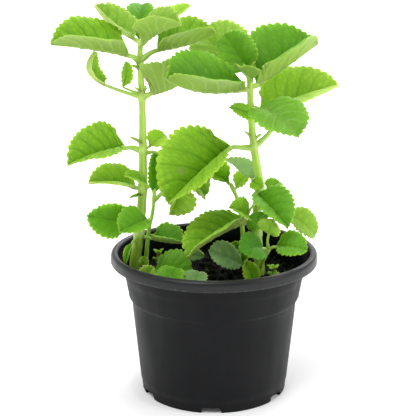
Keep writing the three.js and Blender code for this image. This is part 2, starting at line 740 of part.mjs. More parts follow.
// Inner wall of the pot from the floor up, moved in by a clearance.
function inside(clearance) {
  const wall = potSide().reverse().map(([radius, level]) => [radius - WALL - clearance, level]);
  const floor = FLOOR_LEVEL + FLOOR_THICKNESS + clearance;
  return [[0, floor], [FOOT_RADIUS - WALL - clearance, floor], ...wall.slice(1)];
}

function potSolid() {
  const inner = RIM_RADIUS - LIP_WIDTH;
  const lipFoot = POT_HEIGHT - LIP_HEIGHT;
  const profile = [
    [0, FLOOR_LEVEL],
    [FOOT_RADIUS - FOOT_WIDTH, FLOOR_LEVEL],
    [FOOT_RADIUS - FOOT_WIDTH, 0],
    [FOOT_RADIUS, 0],
    ...potSide().reverse(),
    [RIM_RADIUS - 0.6, lipFoot],
    [RIM_RADIUS, lipFoot + 1],
    [RIM_RADIUS - 0.3, POT_HEIGHT - 2],
    [RIM_RADIUS - 2.4, POT_HEIGHT],
    [inner + 1, POT_HEIGHT - 0.2],
    [inner, POT_HEIGHT - 1],
    ...inside(0).reverse(),
  ];
  let pot = lathe(profile);
  for (let i = 0; i < NOTCH_COUNT; i += 1) {
    pot = pot.subtract(notch(radians(NOTCH_TURN - 90 + (i * 360) / NOTCH_COUNT)));
  }
  for (let i = 0; i < NOTCH_COUNT; i += 1) {
    pot = pot.subtract(drain(radians(NOTCH_TURN - 60 + (i * 360) / NOTCH_COUNT)));
  }
  return pot;
}

function notch(angle) {
  const depth = 3 * FOOT_WIDTH;
  const shape = new THREE.Shape();
  shape.moveTo(-NOTCH_WIDTH / 2 - NOTCH_SPLAY, -1);
  shape.lineTo(NOTCH_WIDTH / 2 + NOTCH_SPLAY, -1);
  shape.lineTo(NOTCH_WIDTH / 2, NOTCH_HEIGHT);
  shape.lineTo(-NOTCH_WIDTH / 2, NOTCH_HEIGHT);
  const geometry = new THREE.ExtrudeGeometry(shape, { depth, bevelEnabled: false });
  geometry.rotateX(Math.PI / 2);
  geometry.translate(0, depth / 2, 0);
  geometry.rotateZ(angle + Math.PI / 2);
  geometry.translate(FOOT_RADIUS * Math.cos(angle), FOOT_RADIUS * Math.sin(angle), 0);
  return solidFromGeometry(geometry);
}

function drain(angle) {
  const height = 3 * (FLOOR_LEVEL + FLOOR_THICKNESS);
  const geometry = new THREE.CylinderGeometry(DRAIN_RADIUS, DRAIN_RADIUS, height, DRAIN_SIDES);
  geometry.rotateX(Math.PI / 2);
  geometry.translate(DRAIN_CIRCLE * Math.cos(angle), DRAIN_CIRCLE * Math.sin(angle), 0);
  return solidFromGeometry(geometry);
}

function soilSolid() {
  const wall = inside(GAP).filter(([, level]) => level < SOIL_LEVEL - 1);
  const edge = wall[wall.length - 1][0];
  const top = [[edge, SOIL_LEVEL - 1], [0.8 * edge, SOIL_LEVEL], [0, SOIL_LEVEL + SOIL_CROWN]];
  let soil = lathe([...wall, ...top]);
  for (const stem of Object.values(STEMS)) {
    soil = soil.subtract(stemSolid(stem, GAP));
  }
  for (const spec of LEAVES.filter(({ stem }) => stem === 'soil')) {
    soil = soil.subtract(stalkSolid(spec, GAP));
  }
  for (const clump of Object.values(CLUMPS)) {
    soil = soil.subtract(clumpStalk(clump, GAP));
  }
  return soil;
}

const plant = new THREE.Group();
plant.add(toMesh('pot', potSolid(), COLOURS.pot, 0.55));
plant.add(toMesh('soil', soilSolid(), COLOURS.soil, 0.95));
for (const name of Object.keys(STEMS)) {
  plant.add(toMesh(name, buddedStem(name), COLOURS.stem, 0.5));
}
for (const [name, clump] of Object.entries(CLUMPS)) {
  plant.add(toMesh(name, clumpSolid(clump), COLOURS.fresh, 0.6));
}
for (const spec of LEAVES) {
  plant.add(toMesh(spec.name, leafSolid(spec), COLOURS[spec.green], 0.6));
}

// The origin is under the middle of the whole plant's box.
const box = new THREE.Box3().setFromObject(plant);
const middle = box.getCenter(new THREE.Vector3());
for (const mesh of plant.children) {
  mesh.geometry.translate(-middle.x, -middle.y, -box.min.z);
}

export default plant;
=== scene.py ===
import math

import bmesh
import bpy
import numpy as np
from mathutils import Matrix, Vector, noise


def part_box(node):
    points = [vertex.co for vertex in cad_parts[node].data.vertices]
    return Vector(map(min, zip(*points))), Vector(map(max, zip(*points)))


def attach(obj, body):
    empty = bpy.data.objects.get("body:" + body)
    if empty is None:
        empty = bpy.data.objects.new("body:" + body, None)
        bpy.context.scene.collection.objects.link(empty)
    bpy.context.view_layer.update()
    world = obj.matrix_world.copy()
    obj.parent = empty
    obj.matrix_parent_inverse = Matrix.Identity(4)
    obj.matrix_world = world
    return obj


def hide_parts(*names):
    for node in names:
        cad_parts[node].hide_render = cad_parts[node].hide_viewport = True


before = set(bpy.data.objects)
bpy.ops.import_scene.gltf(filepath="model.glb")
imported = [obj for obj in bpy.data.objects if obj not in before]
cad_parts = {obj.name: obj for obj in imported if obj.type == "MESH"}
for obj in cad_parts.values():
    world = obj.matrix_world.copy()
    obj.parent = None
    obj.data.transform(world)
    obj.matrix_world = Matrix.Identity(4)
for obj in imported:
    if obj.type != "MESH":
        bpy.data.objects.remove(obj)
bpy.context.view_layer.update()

MM = 0.001
pot_low, pot_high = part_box("pot")
AXIS = np.array([(pot_low.x + pot_high.x) / 2, (pot_low.y + pot_high.y) / 2, 0.0])
SEED = 20

# Pot
POT_SEGMENTS = 192
FOOT_RADIUS = 53.0
NOTCH_COUNT = 6
NOTCH_WIDTH = 12.5
NOTCH_HEIGHT = 4.0
NOTCH_TURN = -2.0
NOTCH_SPLAY = 1.2
# Reach in and out from the foot's edge; the top corners' way out, in and down
NOTCH_REACH = (5.2, 5.0)
NOTCH_SLOPE = (0.3, 0.5, 0.8)
DRAIN_RADIUS = 4.5
DRAIN_CIRCLE = 34.0
DRAIN_SIDES = 32
DRAIN_LEVELS = (-2.0, 6.0, 14.0)
SHARP_ANGLE = 38
POT_PROFILE = [
    (0, 4.6), (48.8, 4.6), (49.4, 4.2), (49.6, 3.6), (49.6, 0.5), (50.1, 0), (52.5, 0),
    (53.0, 0.5), (53.2, 2.5), (53.5, 5.4), (53.85, 8.4), (54.3, 8.9), (54.55, 12.0),
    (56.2, 29), (57.9, 46), (59.4, 61), (60.15, 69.4), (60.6, 70.4), (61.9, 71.6), (62.4, 72.6),
    (62.6, 75.2), (62.95, 76.6), (63.5, 79.5), (64.0, 82.6), (64.5, 85.6), (64.9, 86.6),
    (65.6, 88.6), (66.0, 91.4), (66.3, 94), (66.7, 96.2), (67.4, 96.9), (74.0, 97.1),
    (74.6, 97.3), (74.95, 97.9), (75.0, 98.8), (74.95, 100.8), (74.8, 102.4), (74.4, 103.6),
    (73.7, 104.5), (72.8, 104.95), (71.8, 105), (70.8, 104.85), (70.0, 104.3), (69.6, 103.4),
    (68.9, 101.5), (67.6, 99.4), (66.2, 97.8), (65.4, 96.3), (64.9, 93), (64.4, 90), (63.6, 87),
    (62.6, 82), (61.4, 76), (58.9, 71), (51.7, 6.6), (0, 6.6),
]
POT_LIP_ROW = POT_PROFILE.index((67.4, 96.9))
POT_INSIDE_ROW = POT_PROFILE.index((69.6, 103.4))

# Soil
SOIL_LEVEL = 86.0
SOIL_CROWN = 2.0
SOIL_RADIUS = 62.6
SOIL_RINGS = 70
SOIL_SEGMENTS = 200
SOIL_WALL = [(0, 6.9), (51.2, 6.9), (58.5, 71), (61.0, 76), (62.0, 82), (62.6, 84.4)]
# Lumps: height, size and layer of the noise
SOIL_LUMPS = [(1.5, 9, 3.1), (1.3, 3.6, 7.7), (0.9, 1.5, 1.3)]
CRUMBS = 620
CRUMB_SIZES = (0.5, 2.0)
CRUMB_CIRCLE = 61
BALL_SIDES = 8
BALL_RINGS = 5
CRUMB_ROUGHNESS = 0.35
# Share of the dark ones, and of the brown among the others
DARK_CRUMBS = 0.62
BROWN_CRUMBS = 0.8

# Blade outline and stalk, as in the part's own source
BOWED_WIDTH = 30
BOW_SHARE = 0.05
TOOTH_SHARE = 0.045
TOOTH_LEAST = 0.75
ENTIRE_SHARE = 0.16
TOOTH_FACTOR = 1.3
TOOTH_MOST = 0.16
TOOTH_LEAN = 1.25
TOOTH_ROUNDNESS = 0.62
TOOTH_VARIETY = (0.7, 1.25)
TOOTH_DRIFT = 0.14
LAST_TOOTH = 0.35
OUTLINE_STEPS = 1201
TIP_HALF = 0.12
BELLY = 0.45
TAPER = 0.3
BLUNTNESS = 0.55
BASE_WEDGE = 1.5
BASE_REACH = 3
STALK_PER_WIDTH = 1 / 27
STALK_THICKNESS = (0.9, 1.7)
STALK_TAPER = (1.1, 0.8)
STALK_DROP = 0.45
STALK_BEND = 0.4
STALK_STRAIGHT = 0.5
STALK_SIDES = 14
STALK_RUN_ON = 0.14
STALK_COLLAR = 0.25
COLLAR_PLACE = 3.5
COLLAR_REACH = 2.0
STALK_END = 0.5

# Blade mesh and relief, in millimetres where not shares
THIN_BLADE = 0.8
THICK_BLADE = 1.1
ROWS_PER_TOOTH = 11
ROWS_AT_BASE = 16
COLUMN_WIDTH = 3.0
COLUMNS = (5, 18)
CROWDING = 1.25
WIDE_BLADE = 40
VEIN_PAIRS = 4
MORE_PAIRS = (24, WIDE_BLADE)
VEIN_START = 0.03
VEIN_SPAN = 0.74
VEIN_JITTER = 0.012
VEIN_SWEEP = 0.17
VEIN_WAVER = 0.006
VEIN_SIZE = (0.34, 0.42)
VEIN_TAPER = 0.55
VEIN_GROWTH = 50
VEIN_END = 0.82
QUILT_REACH = (0.2, 3.2)
CELLS = (2.8, 3.4)
CELL_EDGE = 0.45
RIPPLE = 0.011
RIPPLES = (2.2, 4.6)
TURN = 6.283
MIDRIB = 0.9
MIDRIB_TAPER = 0.6
FOLD_ROUNDING = (0.8, 0.05)
EDGE_POWER = 7
UPPER_RELIEF = (0.28, 0.16, 0.3, 0.55)
UNDER_RELIEF = (0.2, 0.1, 0.3)


def leaf(name, green, root, base, tip, face, wide, fold, arch, teeth, belly=BELLY, taper=TAPER,
         stalk=None, bend=None):
    thin, thick = STALK_THICKNESS
    return {
        "name": f"{name}_leaf", "green": green, "root": root, "base": base, "tip": tip,
        "face": face, "wide": wide, "fold": fold, "arch": arch, "teeth": teeth, "belly": belly,
        "taper": taper, "stalk": stalk or min(max(wide * STALK_PER_WIDTH, thin), thick),
        "bend": bend,
    }


# Name without its ending, green, root, start and end of the blade, where its upper face looks,
# width, lift of each half in degrees, arch of the midrib, teeth on each side.
LEAVES = [
    leaf("left_crown_front", "light", (-51.2, -4, 252), (-49, -9, 256), (-22, -26, 270),
         (-0.75, 0.2, 0.65), 42, 46, 2, 9, taper=0.4),
    leaf("left_crown_back", "deep", (-51.2, -4, 252), (-53, 12, 256), (-52, 40, 277),
         (0, -0.3, 1), 25, 30, 4, 6),
    leaf("left_crown_left", "fresh", (-51.1, -4, 255), (-56, 0, 258), (-83, 5, 280),
         (0.25, -0.42, 1), 33, 42, -4, 8, belly=0.42, taper=0.7),
    leaf("left_crown_right", "deep", (-51.1, -4, 254), (-42, 14, 263), (-17, 34, 277),
         (-0.2, -0.5, 1), 19, 34, -1, 7, belly=0.5),
    leaf("left_high_left", "deep", (-51.5, -4, 241), (-59, -12, 248), (-110, -27, 257),
         (0, -0.29, 1), 52, 39, 1, 11, belly=0.5, taper=0.4),
    leaf("left_high_right", "fresh", (-51.5, -4, 242), (-39, -6, 251), (1, 5, 261),
         (0, -0.18, 1), 47, 42, -2, 10, taper=0.5),
    leaf("left_middle_left", "fresh", (-50.5, -4, 217), (-76, -9, 227), (-82, -12, 250),
         (0.94, -0.35, 0.2), 20, 48, -9, 8, stalk=1.3, bend=(-65, -7, 222)),
    leaf("left_middle_sprout", "deep", (-50.6, -4, 219), (-64, 1, 224), (-62, 6, 241),
         (0.6, -0.5, 0.3), 13, 24, 1, 5, bend=(-58, 0, 221)),
    leaf("left_middle_right", "light", (-50.5, -4, 216), (-44, -8, 221), (-21, -24, 231),
         (0, 0, 1), 55, 55, -1, 10),
    leaf("left_low_left", "fresh", (-50.5, -4, 178), (-63, -7, 182), (-102, -20, 172),
         (-0.1, -0.52, 0.85), 47, 33, 2, 10, belly=0.36, taper=0.5),
    leaf("left_low_right", "deep", (-50.6, -4, 177), (-37, 10, 172), (-7, 26, 137),
         (0.2, -0.6, 0.7), 34, 30, 4, 7),
    leaf("left_low_sprout", "deep", (-50.5, -4, 181), (-46, 1, 181), (-35, 9, 188),
         (0, -0.7, 0.6), 18, 25, 1, 5),
    leaf("left_lower_left", "fresh", (-51, -4, 152), (-56, -7, 153), (-89, -12, 157),
         (0.02, -0.45, 1), 33, 36, 2, 9),
    leaf("left_lower_front", "deep", (-51.1, -4, 151), (-47, -13, 156), (-62, -25, 166),
         (0, -0.5, 0.8), 16, 20, 1, 5),
    leaf("left_shoot_upright", "deep", (-43.5, 6, 143), (-44, 10, 145), (-43, 15, 175),
         (0.4, -0.9, 0.1), 17, 30, 2, 7),
    leaf("left_shoot_hanging", "light", (-43.9, 6, 139), (-26, 3, 153), (-32, -1, 131),
         (0.6, -0.8, 0.1), 33, 45, 2, 7),
    leaf("left_base_left", "deep", (-54, -3, 119), (-64, -5, 128), (-90, -17, 135),
         (0.3, -0.93, 0), 29, 22, 2, 7, belly=0.4),
    leaf("left_base_front", "deep", (-53.6, -3.1, 123), (-47, -20, 133), (-66, -32, 127),
         (-0.2, -0.7, 0.65), 29, 30, 1, 7),
    leaf("left_base_right", "deep", (-54.4, -2.8, 116), (-45, -2, 114), (-22, -11, 113),
         (0, -0.25, 1), 31, 42, -1, 7),
    leaf("left_base_hanging", "deep", (-55.1, -2.4, 110), (-59, -12, 113), (-63, -17, 99),
         (-0.5, -0.9, 0.2), 8, 40, 1, 5),
    leaf("right_crown_front", "light", (24.7, -4, 228), (26, -10, 231), (17, -25, 241),
         (0.1, 0.1, 1), 21, 18, 1, 7),
    leaf("right_crown_back", "deep", (24.6, -4, 230), (25, 0, 234), (7, 13, 259),
         (-0.35, -0.6, 0.7), 30, 22, 3, 9),
    leaf("right_crown_far", "light", (24.7, -4, 228), (19, 18, 234), (-11, 42, 256),
         (-0.1, -0.7, 0.7), 48, 20, 2, 9),
    leaf("right_top_left", "deep", (24.9, -4, 222), (21, -8, 224), (-32, -42, 236),
         (0.1, -0.42, 1), 60, 45, -6, 11, belly=0.55),
    leaf("right_top_right", "deep", (24.9, -4, 224), (30, 0, 226), (74, 23, 252),
         (0, -0.2, 1), 72, 46, -1, 12, belly=0.42, taper=0.5),
    leaf("right_high_right", "light", (28.1, -4, 181), (34, 12, 201), (90, 22, 221),
         (0, -0.4, 0.9), 55, 30, 3, 11, belly=0.42, taper=0.6, bend=(41, 5, 194)),
    leaf("right_high_front", "deep", (25.6, -4, 207), (31, -13, 211), (57, -40, 196),
         (0.1, -0.5, 0.85), 43, 12, 4, 9),
    leaf("right_high_left", "deep", (25.8, -4, 205), (29, -17, 206), (10, -25, 214),
         (0.1, -0.75, 0.65), 13, 5, 1, 6, taper=0.9),
    leaf("right_middle_left", "fresh", (28.1, -4, 181), (12, -10, 183), (-32, -24, 145),
         (-0.5, -0.75, 0.44), 72, 46, 2, 13, belly=0.42, bend=(19, -7, 182)),
    leaf("right_lower_left", "grey", (32.3, -4, 153), (28, -3, 158), (6, -1, 173),
         (0, 0.6, 0.6), 22, 30, 1, 7, belly=0.33, taper=1.8),
    leaf("right_lower_right", "fresh", (32, -4, 149), (38, 0, 149), (48, 8, 153),
         (0, -0.6, 1), 15, 20, 1, 5),
    leaf("right_lower_sprout", "deep", (31.7, -4, 157), (27, -11, 159), (34, -17, 155),
         (-0.3, -0.7, 0.6), 12, 16, 1, 5),
    leaf("right_front_large", "deep", (31.3, -4, 146), (30, -13, 149), (51, -36, 131),
         (0.12, -0.56, 0.82), 37, 38, 2, 9),
    leaf("right_far", "light", (31, -4, 137), (53, 4, 131), (74, 8, 113),
         (0.3, -0.75, 0.7), 23, 18, 3, 7),
    leaf("right_front_dark", "deep", (31, -4, 137), (36, -15, 137), (28, -25, 125),
         (-0.59, -0.43, 0.68), 20, 8, 2, 7),
    leaf("right_front_left", "deep", (31, -4, 142), (23, -22, 135), (10, -32, 145),
         (0.73, -0.37, 0.57), 23, 31, 2, 6, bend=(26, -18, 141)),
    leaf("right_base_left", "deep", (31, -4, 127), (24, -7, 128), (-19, -36, 110),
         (-0.2, -0.2, 1), 42, 38, 3, 11, belly=0.5),
    leaf("centre", "deep", (13.9, 12, 146), (11, 13, 151), (-6, 20, 158),
         (0, -0.7, 0.7), 28, 48, 2, 6),
    leaf("centre_right", "light", (13.9, 12, 146), (16, 13, 148), (27, 13, 159),
         (-0.2, -0.5, 0.9), 18, 20, 1, 5),
    leaf("front_left", "deep", (38.4, -23.4, 112), (34, -27, 114), (17, -40, 116),
         (0, -0.75, 0.65), 25, 12, 3, 7),
    leaf("front_right", "deep", (38.4, -23.4, 112), (44, -26, 115), (65, -33, 114),
         (0, -0.6, 0.8), 25, 18, 3, 7),
    leaf("front_top", "light", (38.4, -23.4, 112), (38, -31, 126), (41, -33, 137),
         (0, -0.5, 0.75), 19, 12, 1, 6, stalk=0.95),
    leaf("soil_grey", "grey", (23.5, -20, 78), (21, -22, 99), (-4, -32, 114),
         (0, -0.7, 0.7), 22, 14, 2, 7, belly=0.62),
    leaf("soil_dark", "deep", (19.2, 10, 78), (18, 10, 92), (15, 8, 109),
         (0, -0.9, 0.3), 20, 20, 1, 6),
    leaf("soil_small", "grey", (-23.4, 0, 78), (-20, -2, 101), (-7, -8, 102),
         (0, -0.8, 0.5), 10, 15, 1, 5),
    leaf("soil_folded", "deep", (28.3, -30, 78), (28, -30, 90), (22, -30, 106),
         (0.2, -1, 0.3), 15, 30, 1, 7),
    leaf("soil_big", "deep", (-44.4, -18, 78), (-43, -20, 93), (-15, -25, 96),
         (0, -0.6, 1), 33, 36, 2, 8, belly=0.55),
    leaf("soil_curly", "light", (-31.7, -50, 78), (-32, -50, 93), (-26, -39, 103),
         (-0.2, -0.6, 0.75), 24, 22, 1, 7),
    leaf("soil_pale", "light", (-15.7, -54, 78), (-15, -54, 93), (-10, -41, 101),
         (-0.1, -0.6, 0.75), 20, 22, 1, 6),
    leaf("soil_left", "light", (-50.1, -30, 78), (-49, -30, 92), (-42, -32, 102),
         (-0.2, -0.9, 0.3), 15, 20, 1, 5),
    leaf("soil_bud", "light", (-51.2, -10, 78), (-51, -10, 95), (-50, -10, 103),
         (0, -1, 0.2), 8, 10, 1, 4),
]

# Points from the soil up, radius at each end, levels of the leaf pairs.
STEMS = {
    "stem_left": (
        [(-56, -1, 75), (-58, -1, 88), (-54, -3, 119), (-51, -4, 152), (-50.5, -4, 180),
         (-50.5, -4, 217), (-51.5, -4, 242), (-51, -4, 257)],
        (4.2, 1.9), [119, 152, 180, 217, 242]),
    "stem_right": (
        [(34, -4, 62), (33.5, -4, 90), (31, -4, 118), (31, -4, 144), (32.5, -4, 152),
         (28, -4, 182), (26.5, -4, 195), (25.5, -4, 209), (24.5, -4, 233)],
        (4.0, 2.2), [118, 152, 182, 209]),
    "shoot_left": (
        [(-50, 9, 72), (-50, 9, 92), (-47.5, 8, 118), (-44.5, 6, 132), (-43, 6, 149)],
        (1.7, 1.2), [143]),
    "shoot_centre": (
        [(26, 20, 72), (22, 18, 104), (20, 14, 124), (17.5, 12, 138), (11.5, 12, 152)],
        (1.9, 1.3), [148]),
    "shoot_front": (
        [(31, -12, 72), (31, -13.5, 88), (34, -19, 101), (39, -24, 114)],
        (2.0, 1.6), [111]),
}
STEM_SIDES = 32
STEM_STEP = 0.9
STEM_RIDGES = 0.035
STEM_WOBBLE = 0.012
STEM_WAVES = (0.21, 0.47, 0.9)
STEM_TIP = (0.8, 0.45)
NODE_SWELL = 0.7
NODE_REACH = 3
RING_REACH = 2.2
NODE_GROOVE = 0.12
GROOVE_REACH = 0.5

# Tiny leaves in the axils: stem, start, end, width.
BUDS = [
    ("stem_left", (-50, -4, 219), (-47, -8, 226), 2.6),
    ("stem_left", (-50, -4, 218), (-55, -9, 225), 3),
    ("stem_left", (-50, -5, 183), (-59, -9, 190), 4),
    ("stem_left", (-50, -5, 147), (-60, -10, 146), 4),
    ("stem_left", (-52, -6, 237), (-57, -10, 240), 4),
    ("stem_right", (27, -4, 187), (21, -8, 194), 3),
    ("stem_right", (28, -4, 186), (33, -7, 192), 3),
    ("stem_right", (25, -4, 231), (28, -9, 243), 4),
    ("stem_right", (25, -4, 231), (20, -8, 241), 4),
]
BUD_FOLD = 50
BUD_FINENESS = 0.45
SMALL_ARCH = 0.6
SMALL_TEETH = 4

# Seedlings: root, crown, number of leaves in a tier, their size and how steeply they stand.
CLUMPS = {
    "rosette": ((42, -21, 80), (42, -21, 96.5), 5, 5.5, 0.4),
    "seedling": ((-41, 14, 80), (-41, 14, 96), 3, 6, 0.8),
}
CLUMP_TURN = 0.4
CLUMP_DROPS = (0.0, 5.0)
CLUMP_FOLD = 22
CLUMP_FINENESS = 0.6
CLUMP_STALK = 0.9
CLUMP_STEPS = 16
CLUMP_STEEPER = 1.6
CLUMP_WIDTH = 0.72


# Materials

def colour(code):
    """Linear colour from a web code."""
    parts = [int(code[i:i + 2], 16) / 255 for i in (0, 2, 4)]
    return (*[c / 12.92 if c <= 0.04045 else ((c + 0.055) / 1.055) ** 2.4 for c in parts], 1.0)


class Paint:
    """A material being wired up."""

    def __init__(self, name):
        self.material = bpy.data.materials.new(name)
        self.material.use_nodes = True
        self.nodes = self.material.node_tree.nodes
        self.links = self.material.node_tree.links
        self.shader = self.nodes["Principled BSDF"]
        self.where = self.nodes.new("ShaderNodeTexCoord").outputs["Object"]

    def put(self, socket, value):
        """Value is a socket to link, a web colour code or a plain value."""
        if isinstance(value, bpy.types.NodeSocket):
            self.links.new(value, socket)
        else:
            socket.default_value = colour(value) if isinstance(value, str) else value

    def node(self, kind, **values):
        """A new node; each value or socket goes to the input of its name."""
        made = self.nodes.new("ShaderNode" + kind)
        for name, value in values.items():
            self.put(made.inputs[name.replace("_", " ")], value)
        return made

    def noise(self, scale, detail=3.0, roughness=0.5, stretch=None):
        place = self.where
        if stretch:
            place = self.node("Mapping", Vector=place, Scale=stretch).outputs["Vector"]
        return self.node("TexNoise", Vector=place, Scale=scale, Detail=detail,
                         Roughness=roughness).outputs["Fac"]

    def cells(self, scale):
        made = self.node("TexVoronoi", Vector=self.where, Scale=scale)
        made.feature = "SMOOTH_F1"
        return made.outputs["Distance"]

    def attribute(self, name):
        made = self.node("Attribute")
        made.attribute_name = name
        split = self.node("SeparateColor", Color=made.outputs["Color"])
        return (split.outputs["Red"], split.outputs["Green"], split.outputs["Blue"],
                made.outputs["Alpha"])

    def ranged(self, value, low, high, to_low=0.0, to_high=1.0):
        return self.node("MapRange", Value=value, From_Min=low, From_Max=high, To_Min=to_low,
                         To_Max=to_high).outputs["Result"]

    def maths(self, kind, a, b):
        made = self.node("Math")
        made.operation = kind
        self.put(made.inputs[0], a)
        self.put(made.inputs[1], b)
        return made.outputs["Value"]

    def times(self, a, b):
        return self.maths("MULTIPLY", a, b)

    def rough(self, texture, low, high):
        self.set(Roughness=self.ranged(texture, 0.3, 0.7, low, high))

    def mix(self, share, a, b, blend="MIX"):
        made = self.node("Mix")
        made.data_type = "RGBA"
        made.blend_type = blend
        for socket, value in ((0, share), (6, a), (7, b)):
            self.put(made.inputs[socket], value)
        return made.outputs[2]

    def bump(self, height, strength, distance):
        made = self.node("Bump", Strength=strength, Distance=distance, Height=height)
        self.set(Normal=made.outputs["Normal"])

    def set(self, **values):
        for name, value in values.items():
            self.put(self.shader.inputs[name.replace("_", " ")], value)


# Two shades, veins, margin, and how strongly the veins show; dark and dim are shaded copies of the
# other greens, a painted shade, and bright is a lit copy, a painted light
UPPER_GREENS = {
    # Shaded copy of the deep green: painted shade.
    "dark": ("417f0e", "4f8f17", "376d0b", "6c9f2c", 0.3),
    "deep": ("5b9512", "6aa41c", "467f0c", "84b733", 0.35),
    "ribbed": ("5b9512", "6aa41c", "a8cc68", "84b733", 0.45),
    "fresh": ("7aab18", "8ab724", "4e860e", "a0c43b", 0.7),
    "light": ("88b135", "9abc47", "6e9b28", "abc65f", 0.6),
    # Lit copy of the light green: painted light.
    "bright": ("9ac238", "abcc4a", "7ea82c", "b8d062", 0.7),
    "grey": ("68904f", "7ca163", "547d3b", "92b37b", 0.5),
}
UNDER_GREENS = {
    # Shaded copy of the deep under green: painted shade.
    "dark": ("6f9530", "7ea03a", "9cb566", "8cab4d", 0.6),
    "deep": ("86ab3b", "96b747", "b1c877", "a5c067", 0.6),
    # Shaded copy of the deep under green: painted shade.
    "dim": ("76992f", "86a63a", "a2bb68", "96b258", 0.6),
    "fresh": ("8aaf3b", "9aba47", "b1c877", "a9c267", 0.6),
    "light": ("9ab849", "a9c25b", "bfd283", "b5ca77", 0.6),
    "grey": ("84a66b", "96b57f", "abc596", "a4be8d", 0.6),
}


def leaf_paint(name, base, second, vein, margin, vein_share):
    """Soft, faintly hairy leaf skin over flesh that lets light through."""
    paint = Paint(name)
    veins, edge, quilt, sound = paint.attribute("leaf")
    # The shade varies at random and is lighter between the veins; on the upper face this leaves the
    # hollows by the veins darker, a painted shade.
    tone = paint.maths("ADD", paint.times(paint.noise(70, 4), 0.7), paint.times(quilt, 0.3))
    skin = paint.mix(paint.ranged(tone, 0.25, 0.75), base, second)
    skin = paint.mix(paint.times(paint.maths("POWER", edge, 5.0), 0.55), skin, margin)
    skin = paint.mix(paint.times(veins, vein_share), skin, vein)
    skin = paint.mix(paint.times(paint.maths("SUBTRACT", 1.0, sound), 0.8), skin, "9c9068")
    speck = paint.ranged(paint.noise(1500, 2), 0.3, 0.7, 0.9, 1.08)
    grey = paint.node("CombineColor", Red=speck, Green=speck, Blue=speck)
    skin = paint.mix(1.0, skin, grey.outputs["Color"], "MULTIPLY")
    paint.set(Base_Color=skin, Specular_IOR_Level=0.22)
    paint.rough(paint.noise(420, 3), 0.46, 0.62)
    paint.set(Subsurface_Weight=0.85, Subsurface_Scale=0.0026, Subsurface_Radius=(0.9, 1.0, 0.3))
    paint.set(Sheen_Weight=0.05, Sheen_Roughness=0.45, Sheen_Tint=(0.85, 1.0, 0.75, 1.0))
    hairs, pebbles = paint.times(paint.noise(2600, 2), 0.5), paint.times(paint.cells(620), 0.8)
    paint.bump(paint.maths("ADD", hairs, pebbles), 0.3, 0.0003)
    return paint.material


# Upper and under green of the leaves whose faces aren't both of the green in their slot's name,
# picked so that each leaf's tone matches the light it gets: partly the leaves' own colour, partly
# painted light and shade
SHADES = {
    ("ribbed", "deep"): "right_high_front",
    ("fresh", "deep"): "right_high_left right_front_left right_lower_sprout",
    ("fresh", "light"): "right_middle_left right_base_left centre left_low_right soil_folded",
    ("bright", "light"): "centre_right right_high_right left_crown_right left_low_sprout "
                         "left_lower_left left_shoot_hanging",
    ("deep", "dim"): "right_top_left",
    ("light", "dim"): "right_crown_front left_middle_right",
    ("fresh", "dim"): "left_high_left",
    ("light", "light"): "left_crown_left left_middle_left left_middle_sprout",
    ("light", "deep"): "left_crown_front",
    ("deep", "light"): "left_base_right soil_curly",
    ("fresh", "fresh"): "left_lower_front",
    ("dark", "dark"): "front_left",
    ("light", "dark"): "front_top",
    ("grey", "light"): "soil_pale",
}
# A dry spot: share along the blade, millimetres from the midrib, size
BLEMISHES = {"right_middle_left_leaf": (0.63, 12.0, 2.0)}
UPPER_PAINTS = {green: leaf_paint(f"leaf_{green}_upper", *shades)
                for green, shades in UPPER_GREENS.items()}
UNDER_PAINTS = {green: leaf_paint(f"leaf_{green}_under", *shades)
                for green, shades in UNDER_GREENS.items()}
FRESH_PAINTS = [UPPER_PAINTS["fresh"], UNDER_PAINTS["fresh"]]


def stem_paint():
    paint = Paint("stem_skin")
    ridge, ring, toward_top, _ = paint.attribute("stem")
    skin = paint.mix(paint.ranged(paint.noise(160, 4, stretch=(1, 1, 0.12)), 0.35, 0.65),
                     "8ab82c", "9cc43c")
    # Paler along the four ridges and in rings at the nodes: painted highlight.
    skin = paint.mix(paint.times(ridge, 0.6), skin, "c8e07c")
    skin = paint.mix(paint.times(ring, 0.5), skin, "d1e296")
    # Paler towards the top.
    skin = paint.mix(paint.times(toward_top, 0.6), skin, "c2dc72")
    paint.set(Base_Color=skin, Specular_IOR_Level=0.4)
    paint.rough(paint.noise(600, 3), 0.38, 0.52)
    paint.set(Subsurface_Weight=0.8, Subsurface_Scale=0.004, Subsurface_Radius=(0.9, 1.0, 0.3))
    paint.set(Sheen_Weight=0.05, Sheen_Roughness=0.4, Sheen_Tint=(0.9, 1.0, 0.8, 1.0))
    paint.bump(paint.noise(1800, 2, stretch=(1, 1, 0.15)), 0.25, 0.0003)
    return paint.material


def stalk_paint():
    paint = Paint("stalk_skin")
    ridge = paint.attribute("leaf")[0]
    skin = paint.mix(paint.ranged(paint.noise(200, 3), 0.35, 0.65), "94bc3b", "a9ca55")
    skin = paint.mix(paint.times(ridge, 0.35), skin, "c5dc8f")
    paint.set(Base_Color=skin, Specular_IOR_Level=0.4)
    paint.rough(paint.noise(600, 3), 0.4, 0.55)
    paint.set(Subsurface_Weight=0.5, Subsurface_Scale=0.0025, Subsurface_Radius=(0.8, 1.0, 0.3))
    paint.bump(paint.noise(1800, 2), 0.25, 0.0003)
    return paint.material


# Levels in metres where the scuffs and painted highlight on the lip's foot come in and where they
# are gone
SCUFF_HIGHLIGHT_FROM = (0.0966, 0.0974)
SCUFF_HIGHLIGHT_TO = (0.0990, 0.0976)


